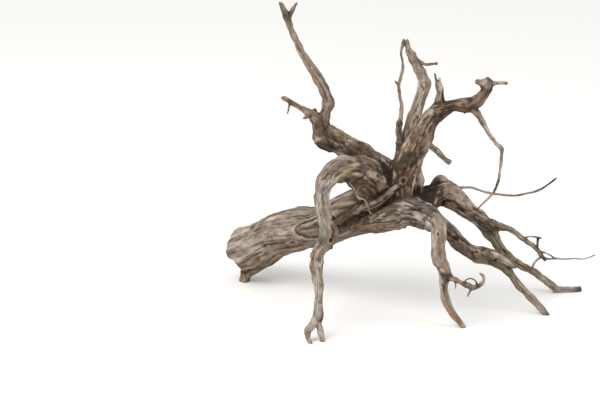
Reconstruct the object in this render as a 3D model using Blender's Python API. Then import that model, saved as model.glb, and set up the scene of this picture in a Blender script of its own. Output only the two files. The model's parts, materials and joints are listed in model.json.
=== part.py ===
"""A weathered root crown of driftwood, grown as one piece.

A thick stem lies down to the back left, where it was broken from the tree. Its other end is a
knotted hub, and from the hub a dozen roots arch, fork and reach out: some down to the ground as
legs, some up in the air.

Each root is a tube through a few hand-placed points. Lengths are in millimetres until a mesh is
made.
"""

import math
import random

import bmesh
import bpy
import numpy as np

NODE = "driftwood_root"
MM = 0.001

# The roots are drawn on a sheet that leans back, as an eye in front of it sees them:
# across and up the sheet, how far behind it, and the root's radius there.
SHEET_LEAN = math.radians(20.0)
EYE_DISTANCE = 4000.0
EYE_ACROSS = -226.0
EYE_UP = 271.0
MIDDLE_X = 7.9  # the middle of the whole piece on the ground, from the foot of the sheet
MIDDLE_Y = 189.4

PATH_STEP = 2.0  # between the samples of a root's curve
TOO_STEEP = 0.9  # a root that starts nearer than this to its side direction takes another one
RING_GAP = 9.5  # between a thin root's rings
RING_GAP_PER_RADIUS = 0.3
SIDES_LEAST = 3.0
SIDES_PER_ROOT_RADIUS = 1.9  # times the square root of the radius

FLUTE_DEPTH = 0.075  # of the radius: broad ridges that run with the grain
LUMP_DEPTH = 0.05  # of the radius: swellings along it
GRAIN_TWIST = 0.010  # radians a millimetre, at most
FLUTES = (2, 3, 5)  # ridges round a root
LUMP_WAVES = (3.2, 5.6, 9.5)  # in radii
LUMP_RADIUS_LEAST = 3.0

WOOD_COLOUR = (0.262, 0.205, 0.152, 1.0)
WOOD_ROUGHNESS = 0.86
SMOOTH_BELOW = math.radians(50.0)

GROUND_BLOCK = (2.0, 2.0, 0.06)  # metres: what wears the legs flat

ROOTS = {
    # The stem, from its broken end at the back left to the hub
    "stem": [
        (-341, 182, 298, 44), (-325, 188, 288, 46), (-302, 199, 272, 43), (-276, 213, 252, 40),
        (-226, 222, 215, 41), (-176, 231, 172, 40), (-126, 253, 130, 45), (-76, 264, 95, 49),
        (-30, 271, 72, 48), (10, 272, 60, 38), (34, 268, 55, 22),
    ],
    "stem_lip": [
        (-290, 181, 262, 22), (-314, 158, 286, 20), (-334, 136, 302, 13.5), (-338, 116, 309, 11.5),
    ],
    # The burl on the hub, and the hooped root that leaves it, over and down to a forked foot in front
    "burl": [
        (-52, 280, 72, 32), (-62, 294, 62, 36), (-78, 314, 50, 40), (-96, 332, 40, 38),
        (-114, 341, 26, 32), (-132, 344, 12, 26), (-148, 341, 2, 20),
    ],
    "hoop": [
        (-100, 334, 38, 26), (-118, 343, 24, 28), (-136, 345, 8, 27.5), (-152, 342, -4, 25),
        (-168, 330, -13, 20.5), (-178, 309, -17, 16), (-182, 292, -18, 15), (-182, 274, -18, 15),
        (-175, 246, -14, 15.5), (-170, 220, -8, 16), (-175, 198, -4, 14.5), (-188, 177, -2, 12),
        (-193, 152, 0, 11), (-190, 124, 2, 10), (-187, 98, 2, 8.7), (-190, 72, 2, 9),
        (-190, 46, 2, 9.5),
    ],
    "hoop_left_toe": [
        (-191, 54, 1, 7.5), (-202, 34, 0, 8), (-211, 20, -4, 6.3), (-210, 10, -6, 4.6),
        (-204, -5, -6, 3.5),
    ],
    "hoop_right_toe": [(-190, 52, 3, 7), (-188, 36, 4, 6.5), (-184, 20, 4, 6), (-180, -5, 4, 4.6)],
    "hoop_knot": [(-172, 214, -2, 10), (-164, 204, 14, 7), (-160, 200, 24, 4.5)],
    # The root at the back left, with a broken stub and a tall fork
    "back_root": [
        (-34, 304, 85, 26), (-58, 344, 100, 23), (-94, 369, 116, 21.5), (-130, 388, 130, 22.3),
        (-159, 404, 140, 22.5), (-178, 416, 147, 21), (-187, 432, 150, 10),
    ],
    "back_stub": [
        (-182, 428, 148, 13), (-198, 452, 146, 10.5), (-219, 465, 138, 6.5), (-239, 477, 130, 5.2),
        (-257, 487, 122, 4.3), (-264, 490, 120, 2.8),
    ],
    "back_stub_peak": [(-196, 446, 147, 8), (-196, 464, 147, 4)],
    "back_thorn": [(-247, 482, 127, 2.4), (-248, 470, 125, 1.7), (-251, 457, 123, 1.1)],
    "back_knob": [(-200, 455, 143, 4.5), (-209, 452, 136, 3.4), (-218, 448, 132, 2.6)],
    "back_fork": [
        (-176, 412, 146, 16), (-174, 446, 146, 10), (-171, 470, 143, 11.5), (-173, 490, 139, 12),
        (-186, 519, 130, 10.5), (-204, 550, 120, 8.9), (-223, 578, 110, 7.6), (-237, 610, 100, 7),
        (-249, 638, 90, 7), (-252, 654, 86, 7.6),
    ],
    "back_fork_left": [(-252, 650, 87, 6.5), (-260, 667, 82, 4.8), (-264, 676, 80, 3.2)],
    "back_fork_right": [(-249, 650, 87, 5.5), (-241, 664, 88, 3.8), (-233, 677, 90, 2.3)],
    # The slender upright root, which meets the tall one at its top
    "whip": [
        (-26, 346, 80, 14), (-26, 384, 72, 8.7), (-27, 408, 70, 7.6), (-28, 430, 68, 7),
        (-25, 450, 66, 5), (-23, 472, 62, 3.6), (-27, 496, 60, 3.3), (-28, 516, 58, 3.7),
        (-24, 530, 58, 3.1), (-20, 552, 60, 2.7), (-24, 577, 64, 2.6), (-22, 590, 69, 3.2),
        (-19, 598, 72, 4), (-19, 604, 73, 2.6),
    ],
    "whip_thorn": [(-29, 516, 58, 2.2), (-34, 521, 57, 1.6), (-39, 527, 55, 1.0)],
    "tall_root": [
        (-22, 306, 80, 26), (-22, 354, 86, 19), (-16, 388, 88, 16), (-6, 424, 86, 13.5),
        (6, 458, 84, 12), (16, 490, 82, 11.2), (23, 518, 80, 12), (17, 535, 79, 11),
        (7, 555, 77, 9), (-3, 574, 74, 7.4), (-9, 588, 72, 6), (-11, 598, 71, 4.4),
        (-11, 604, 71, 3),
    ],
    "tall_twig": [
        (2, 568, 75, 4.5), (12, 562, 71, 3), (24, 556, 65, 2.4), (36, 555, 58, 2.3),
        (47, 557, 52, 2),
    ],
    # The heavy upper root, which ends in a knuckle of broken stubs
    "upper_root": [
        (-30, 286, 62, 34), (-22, 324, 46, 29), (-10, 356, 34, 27), (4, 388, 24, 24.5),
        (18, 416, 16, 24), (31, 440, 10, 21.5), (47, 458, 2, 18.5), (68, 468, -8, 15),
        (87, 474, -18, 12.5), (108, 474, -26, 13), (128, 483, -30, 12.5), (141, 498, -32, 10.4),
        (149, 513, -34, 10), (152, 521, -34, 7),
    ],
    "upper_nub": [(102, 468, -22, 4), (103, 458, -22, 2)],
    "upper_spike": [
        (46, 452, 2, 14), (54, 482, -1, 9), (54, 500, -3, 7), (49, 518, -3, 4.4), (45, 534, -3, 2),
    ],
    "upper_stub_left": [(149, 516, -35, 6.5), (134, 518, -40, 4), (122, 521, -44, 3)],
    "upper_stub_top": [(148, 515, -34, 6), (146, 530, -30, 3.2)],
    "upper_stub_right": [
        (149, 518, -34, 5.5), (166, 517, -30, 3.2), (180, 518, -26, 3.2), (189, 518, -24, 2.6),
    ],
    "hanging_twig": [
        (110, 476, -27, 10), (128, 456, -26, 7.4), (140, 439, -22, 5.7), (153, 415, -14, 4.6),
        (166, 397, -4, 4.5), (177, 387, 4, 4.7), (178, 368, 16, 3.8), (175, 344, 32, 3.2),
        (170, 320, 50, 3.1), (160, 298, 72, 2.8), (145, 282, 92, 2.5), (133, 270, 108, 2.6),
        (126, 258, 120, 2.8),
    ],
    "peg": [
        (10, 408, 36, 9), (36, 392, 52, 7), (51, 379, 60, 5.8), (67, 364, 70, 4.8),
        (74, 359, 74, 4.7),
    ],
    # The right root, which peaks and then forks into fingers and a runner
    "right_root": [
        (-6, 272, 72, 34), (22, 278, 84, 28), (43, 290, 94, 26), (60, 299, 102, 25),
        (82, 289, 112, 22), (105, 267, 122, 18.2), (131, 248, 132, 16), (152, 229, 140, 13),
    ],
    "right_peak": [(46, 296, 96, 20), (55, 318, 101, 11), (57, 330, 102, 4)],
    "fingers": [
        (140, 238, 138, 13), (170, 231, 146, 9), (190, 227, 150, 7), (210, 214, 154, 5.8),
        (230, 199, 158, 4.8), (248, 185, 162, 4.6), (258, 172, 165, 4), (264, 164, 167, 2.8),
    ],
    "finger_upright": [(249, 184, 161, 2.8), (249, 198, 156, 2.1), (250, 207, 152, 3)],
    "finger_loop": [
        (224, 204, 156, 2.4), (228, 210, 152, 1.6), (240, 211, 148, 1.5), (256, 208, 145, 1.7),
    ],
    "finger_whisker": [
        (260, 168, 165, 2.6), (274, 166, 168, 1.9), (286, 167, 172, 1.8), (304, 166, 178, 1.5),
        (322, 167, 184, 1.4), (340, 166, 190, 1.3), (354, 170, 195, 1.1), (364, 174, 199, 1.0),
    ],
    "finger_side": [(252, 181, 162, 2.6), (268, 177, 166, 1.6), (284, 167, 171, 1.5)],
    "finger_down": [(256, 171, 165, 2.6), (244, 160, 168, 2.2), (238, 148, 172, 1.9)],
    "runner": [
        (142, 238, 136, 14), (161, 210, 146, 11.8), (175, 188, 156, 9.8), (193, 168, 170, 9),
        (216, 154, 186, 7.8), (239, 142, 202, 7.1), (258, 129, 218, 6.6), (273, 117, 234, 7),
        (290, 105, 244, 7.6), (312, 104, 247, 6.2), (335, 106, 249, 5.2),
    ],
    # The thin feeler from the right root's peak
    "feeler": [
        (62, 298, 112, 7), (84, 307, 128, 3.2), (100, 309, 134, 2.7), (118, 309, 138, 2.7),
        (138, 302, 142, 2.6), (160, 297, 146, 2.3), (184, 294, 148, 2.1), (204, 293, 148, 2.3),
        (226, 297, 146, 2), (250, 303, 142, 2.4), (270, 315, 136, 1.9), (286, 327, 130, 1.7),
    ],
    # The prop root, a leg to the right with a broken ledge halfway
    "prop": [
        (10, 266, 70, 30), (46, 241, 80, 22), (70, 220, 88, 18.7), (92, 199, 96, 17),
        (115, 182, 103, 15), (144, 173, 110, 16), (168, 164, 114, 14.6), (185, 150, 118, 11.5),
        (199, 131, 121, 8.6), (214, 110, 125, 8), (236, 90, 128, 7.2), (254, 71, 130, 6.4),
        (269, 53, 132, 5.6),
    ],
    "prop_ledge": [
        (144, 181, 101, 10), (170, 170, 101, 7.5), (190, 158, 103, 5.5), (201, 151, 104, 4),
    ],
    # The front root, a leg towards the eye with a hooked twig
    "front_burl": [
        (-56, 252, 72, 36), (-22, 257, 52, 33), (10, 257, 36, 31), (32, 251, 26, 24),
        (44, 238, 20, 14),
    ],
    "front_root": [
        (6, 260, 34, 22), (30, 254, 26, 20), (46, 240, 18, 17), (51, 218, 14, 15),
        (49, 194, 14, 14.4), (50, 174, 16, 14.6), (58, 154, 20, 13.2), (64, 134, 26, 11.6),
        (62, 116, 34, 9.2), (63, 96, 44, 8.2), (68, 76, 52, 8), (80, 56, 60, 7), (92, 43, 66, 6.2),
        (102, 28, 71, 4.6),
    ],
    "hook": [
        (66, 136, 27, 9), (80, 126, 22, 6), (94, 120, 18, 5), (108, 113, 14, 5.2),
        (122, 109, 10, 4.8), (134, 113, 8, 4), (142, 123, 8, 3.4), (141, 132, 10, 2.8),
        (134, 137, 12, 1.8),
    ],
    "hook_arc": [
        (102, 114, 15, 2.6), (106, 124, 8, 1.6), (116, 127, 4, 1.6), (124, 123, 3, 1.6),
        (130, 112, 8, 2.2),
    ],
    "hook_twig": [(117, 110, 11, 3), (113, 100, 8, 2.4), (109, 92, 6, 1.8)],
    "hook_thorn": [(85, 124, 21, 2.2), (85, 115, 19, 1.5), (85, 107, 18, 1.0)],
    # A strap of wood that crosses the hub, and a zigzag rootlet that hangs in front of it
    "strap": [
        (0, 344, 12, 8), (-20, 318, 26, 9), (-42, 303, 32, 10), (-66, 288, 42, 9),
        (-94, 270, 62, 9.5), (-118, 252, 82, 9), (-140, 234, 102, 7),
    ],
    "rootlet": [
        (-132, 334, -2, 4), (-122, 314, 4, 2.4), (-110, 298, 8, 2.3), (-102, 284, 16, 2.3),
        (-90, 275, 24, 2.3), (-84, 260, 38, 2.3), (-77, 244, 54, 2.4),
    ],
}
CUT_TIPS = ("peg", "runner", "prop", "upper_stub_right", "front_root")
BROKEN_TIPS = ("back_stub", "upper_spike", "upper_stub_left", "prop_ledge", "back_fork_left")

# How a tip closes: how far past the last ring each ring stands, against its radius, and its share
# of the last ring's size
CUT_PROFILE = ((0.0, 1.0), (0.12, 0.86))
BROKEN_PROFILE = ((0.0, 1.0), (0.9, 0.62))
WORN_PROFILE = ((0.0, 1.0), (0.45, 0.78), (0.8, 0.4))
CUT_HEART = 0.1  # how far the middle of an end stands out of it, against the radius
BROKEN_HEART = -0.35
RAGGED = (-0.5, 0.8)  # how far a broken tip's splinters reach, against the radius

# The stem's broken end: how far outside the first ring the rim, the worn face and the edge of the
# rotten heart lie, and their share of its size
STEM_END = ((4.0, 0.93), (0.0, 0.66), (-13.0, 0.34))
STEM_END_RAGGED = 5.0
STEM_HEART_DEPTH = 17.0


def clear_scene():
    for thing in list(bpy.data.objects):
        bpy.data.objects.remove(thing, do_unlink=True)


def over_ground(route):
    """A route of the sheet as rows of x, y, z and radius, with the ground at z = 0."""
    across, up, back, radius = np.array(route, float).T
    spread = 1.0 + back / EYE_DISTANCE
    rise = EYE_UP + (up - EYE_UP) * spread
    x = EYE_ACROSS + (across - EYE_ACROSS) * spread - MIDDLE_X
    y = rise * math.sin(SHEET_LEAN) + back * math.cos(SHEET_LEAN) - MIDDLE_Y
    z = rise * math.cos(SHEET_LEAN) - back * math.sin(SHEET_LEAN)
    return np.column_stack([x, y, z, radius * spread])


def smooth_path(rows):
    """Samples every PATH_STEP or so of a smooth curve through the rows."""
    gaps = np.linalg.norm(np.diff(rows[:, :3], axis=0), axis=1)
    times = np.sqrt(gaps)[:, None]
    slopes = np.diff(rows, axis=0) / times
    inner = (slopes[:-1] * times[1:] + slopes[1:] * times[:-1]) / (times[:-1] + times[1:])
    tangents = np.vstack([slopes[:1], inner, slopes[-1:]])
    samples = []
    for i, gap in enumerate(gaps):
        t = np.arange(0, 1, PATH_STEP / max(gap, PATH_STEP))[:, None]
        samples.append(
            (2 * t**3 - 3 * t**2 + 1) * rows[i]
            + (t**3 - 2 * t**2 + t) * times[i] * tangents[i]
            + (3 * t**2 - 2 * t**3) * rows[i + 1]
            + (t**3 - t**2) * times[i] * tangents[i + 1]
        )
    samples.append(rows[-1:])
    return np.vstack(samples)


def unit(vectors):
    return vectors / np.linalg.norm(vectors, axis=-1, keepdims=True)


def frames_along(points):
    """Tangent, side and over directions at each point, turned no more than the curve needs."""
    tangents = unit(np.gradient(points, axis=0))
    to_front = np.array([0.0, -1.0, 0.0])
    side = to_front if abs(tangents[0] @ to_front) < TOO_STEEP else np.array([0.0, 0.0, 1.0])
    sides = []
    for tangent in tangents:
        side = unit(side - tangent * (side @ tangent))
        sides.append(side)
    sides = np.array(sides)
    return tangents, sides, np.cross(tangents, sides)


def ring_places(along, radius):
    """Distances along a root at which its rings stand, closer together where it is thin."""
    density = 1.0 / (RING_GAP + RING_GAP_PER_RADIUS * radius)
    count = np.concatenate([[0.0], np.cumsum(np.diff(along) * (density[1:] + density[:-1]) / 2)])
    rings = max(3, round(count[-1]))
    return np.interp(np.linspace(0, count[-1], rings + 1), count, along)


def girth(name, angle, along, thickness):
    """What the grain's flutes and lumps make of a root's radius, by angle and distance along it."""
    draw = random.Random(name)
    factor = np.ones(np.broadcast_shapes(angle.shape, along.shape))
    for ridges in FLUTES:
        depth = FLUTE_DEPTH * draw.uniform(0.5, 1.0) / math.sqrt(ridges)
        turn = draw.uniform(-1.0, 1.0) * GRAIN_TWIST
        start = draw.uniform(0.0, math.tau)
        factor = factor + depth * np.cos(ridges * angle + turn * along + start)
    for wave in LUMP_WAVES:
        length = wave * max(thickness, LUMP_RADIUS_LEAST) * draw.uniform(0.8, 1.25)
        start = draw.uniform(0.0, math.tau)
        lean = draw.choice((0, 1, 1, 2))
        factor = factor + LUMP_DEPTH * np.cos(math.tau * along / length + lean * angle + start)
    return factor


def tip_profile(name):
    if name in CUT_TIPS:
        return CUT_PROFILE, CUT_HEART
    if name in BROKEN_TIPS:
        return BROKEN_PROFILE, BROKEN_HEART
    return WORN_PROFILE, CUT_HEART


def tip_rings(name, last, centre, tangent, radius):
    """The rings that close a root's tip, and the point in the middle of its end."""
    draw = random.Random(name + " tip")
    profile, heart = tip_profile(name)
    rings = []
    for past, share in profile:
        ring = centre + (last - centre) * share + tangent * past * radius
        if name in BROKEN_TIPS and past:
            ragged = np.array([draw.uniform(*RAGGED) for _ in ring]) * radius
            ring = ring + ragged[:, None] * tangent
        rings.append(ring)
    return rings, rings[-1].mean(axis=0) + tangent * heart * radius


def stem_end_rings(first, centre, tangent):
    """The stem's broken end, from its rotten heart out to the rim, and the heart's deepest point."""
    draw = random.Random("stem end")
    rings = []
    for out, share in STEM_END:
        ragged = [draw.uniform(-STEM_END_RAGGED, STEM_END_RAGGED) * share for _ in first]
        past = out + np.array(ragged)[:, None]
        rings.append(centre + (first - centre) * share - past * tangent)
    return rings[::-1], centre + STEM_HEART_DEPTH * tangent


def root_rings(name, route):
    """The rings of corners along one root, and the points that close its two ends."""
    path = smooth_path(over_ground(route))
    points, radius = path[:, :3], path[:, 3]
    along = np.concatenate([[0.0], np.cumsum(np.linalg.norm(np.diff(points, axis=0), axis=1))])
    places = ring_places(along, radius)

    def at_places(values):
        return np.column_stack([np.interp(places, along, column) for column in values.T])

    centres = at_places(points)
    tangents, sides, overs = (at_places(values) for values in frames_along(points))
    ring_radius = np.interp(places, along, radius)
    thickness = float(np.median(radius))
    corner_count = round(SIDES_LEAST + SIDES_PER_ROOT_RADIUS * math.sqrt(thickness))
    angle = np.linspace(0.0, math.tau, corner_count, endpoint=False)
    reach = ring_radius[:, None] * girth(name, angle[None, :], places[:, None], thickness)
    outward = (
        np.cos(angle)[None, :, None] * sides[:, None, :]
        + np.sin(angle)[None, :, None] * overs[:, None, :]
    )
    rings = list(centres[:, None, :] + reach[:, :, None] * outward)
    tip, end_point = tip_rings(name, rings[-1], centres[-1], tangents[-1], ring_radius[-1])
    start, start_point = [], centres[0]
    if name == "stem":
        start, start_point = stem_end_rings(rings[0], centres[0], tangents[0])
    return start + rings[:-1] + tip, start_point, end_point


def root_mesh(name, route):
    """One root as a closed tube."""
    rings, start_point, end_point = root_rings(name, route)
    shape = bmesh.new()
    loops = [[shape.verts.new(corner * MM) for corner in ring] for ring in rings]
    start_pole = shape.verts.new(start_point * MM)
    end_pole = shape.verts.new(end_point * MM)
    corner_count = len(loops[0])
    for i in range(corner_count):
        j = (i + 1) % corner_count
        shape.faces.new((start_pole, loops[0][j], loops[0][i]))
        shape.faces.new((end_pole, loops[-1][i], loops[-1][j]))
        for low, high in zip(loops, loops[1:]):
            shape.faces.new((low[i], low[j], high[j], high[i]))
    bmesh.ops.triangulate(shape, faces=shape.faces[:])
    bmesh.ops.recalc_face_normals(shape, faces=shape.faces[:])
    mesh = bpy.data.meshes.new(name)
    shape.to_mesh(mesh)
    shape.free()
    return mesh


def wood_material():
    wood = bpy.data.materials.new("weathered_root_wood")
    wood.use_nodes = True
    surface = wood.node_tree.nodes["Principled BSDF"]
    surface.inputs["Base Color"].default_value = WOOD_COLOUR
    surface.inputs["Roughness"].default_value = WOOD_ROUGHNESS
    surface.inputs["Metallic"].default_value = 0.0
    wood.diffuse_color = WOOD_COLOUR
    return wood


def apply_modifiers(thing):
    """Turns what the modifiers make into the object's own mesh."""
    graph = bpy.context.evaluated_depsgraph_get()
    made = bpy.data.meshes.new_from_object(thing.evaluated_get(graph))
    thing.modifiers.clear()
    thing.data = made


def joined_roots():
    """The roots as one solid."""
    branches = bpy.data.collections.new("branches")
    bpy.context.scene.collection.children.link(branches)
    names = list(ROOTS)
    trunk = bpy.data.objects.new(NODE, root_mesh(names[0], ROOTS[names[0]]))
    bpy.context.scene.collection.objects.link(trunk)
    for name in names[1:]:
        branches.objects.link(bpy.data.objects.new(name, root_mesh(name, ROOTS[name])))
    union = trunk.modifiers.new("grown together", "BOOLEAN")
    union.operation = "UNION"
    union.operand_type = "COLLECTION"
    union.solver = "MANIFOLD"
    union.collection = branches
    apply_modifiers(trunk)
    for branch in list(branches.objects):
        bpy.data.objects.remove(branch, do_unlink=True)
    bpy.data.collections.remove(branches)
    return trunk


def worn_flat(root):
    """Wears the legs flat where they stand on the ground."""
    block = bmesh.new()
    bmesh.ops.create_cube(block, size=1.0)
    bmesh.ops.translate(block, vec=(0.0, 0.0, -0.5), verts=block.verts)
    bmesh.ops.scale(block, vec=GROUND_BLOCK, verts=block.verts)
    mesh = bpy.data.meshes.new("ground")
    block.to_mesh(mesh)
    block.free()
    ground = bpy.data.objects.new("ground", mesh)
    bpy.context.scene.collection.objects.link(ground)
    cut = root.modifiers.new("worn flat", "BOOLEAN")
    cut.operation = "DIFFERENCE"
    cut.solver = "MANIFOLD"
    cut.object = ground
    apply_modifiers(root)
    bpy.data.objects.remove(ground, do_unlink=True)


def main():
    clear_scene()
    root = joined_roots()
    worn_flat(root)
    root.data.name = NODE
    root.data.materials.clear()
    root.data.materials.append(wood_material())
    root.data.shade_smooth()
    root.data.set_sharp_from_angle(angle=SMOOTH_BELOW)


main()
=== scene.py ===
import json
import math
import random

import bmesh
import bpy
import numpy as np
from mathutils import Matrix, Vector
from mathutils.kdtree import KDTree

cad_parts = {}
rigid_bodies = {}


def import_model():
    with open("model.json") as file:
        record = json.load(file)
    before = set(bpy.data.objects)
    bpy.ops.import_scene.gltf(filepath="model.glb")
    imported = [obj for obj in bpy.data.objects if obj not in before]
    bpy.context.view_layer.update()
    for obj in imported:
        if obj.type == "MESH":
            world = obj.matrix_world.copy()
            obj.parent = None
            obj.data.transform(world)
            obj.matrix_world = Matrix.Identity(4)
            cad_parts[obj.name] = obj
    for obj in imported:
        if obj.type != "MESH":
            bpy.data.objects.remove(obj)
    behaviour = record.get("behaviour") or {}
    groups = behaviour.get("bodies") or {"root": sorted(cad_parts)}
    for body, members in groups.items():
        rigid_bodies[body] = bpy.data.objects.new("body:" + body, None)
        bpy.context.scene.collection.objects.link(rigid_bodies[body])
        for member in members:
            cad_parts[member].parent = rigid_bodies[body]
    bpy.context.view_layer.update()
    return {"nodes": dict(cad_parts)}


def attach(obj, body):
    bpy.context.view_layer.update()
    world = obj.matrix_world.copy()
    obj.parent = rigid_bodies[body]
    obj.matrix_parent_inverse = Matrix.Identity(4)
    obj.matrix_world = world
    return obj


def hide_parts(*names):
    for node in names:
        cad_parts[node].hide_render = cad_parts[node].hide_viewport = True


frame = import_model()
print("frame loaded, nodes:", ", ".join(sorted(frame["nodes"])))

mm = 0.001

# The roots are drawn on a sheet that leans back, as an eye in front of it sees them: across and up
# the sheet, how far behind it, and the root's radius there, all in mm
sheet = {
    "lean": math.radians(20.0),
    "eyeDistance": 4000.0,
    "eyeAcross": -226.0,
    "eyeUp": 271.0,
    "middleX": 7.9,  # the middle of the whole piece on the ground, from the foot of the sheet
    "middleY": 189.4,
}

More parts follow.
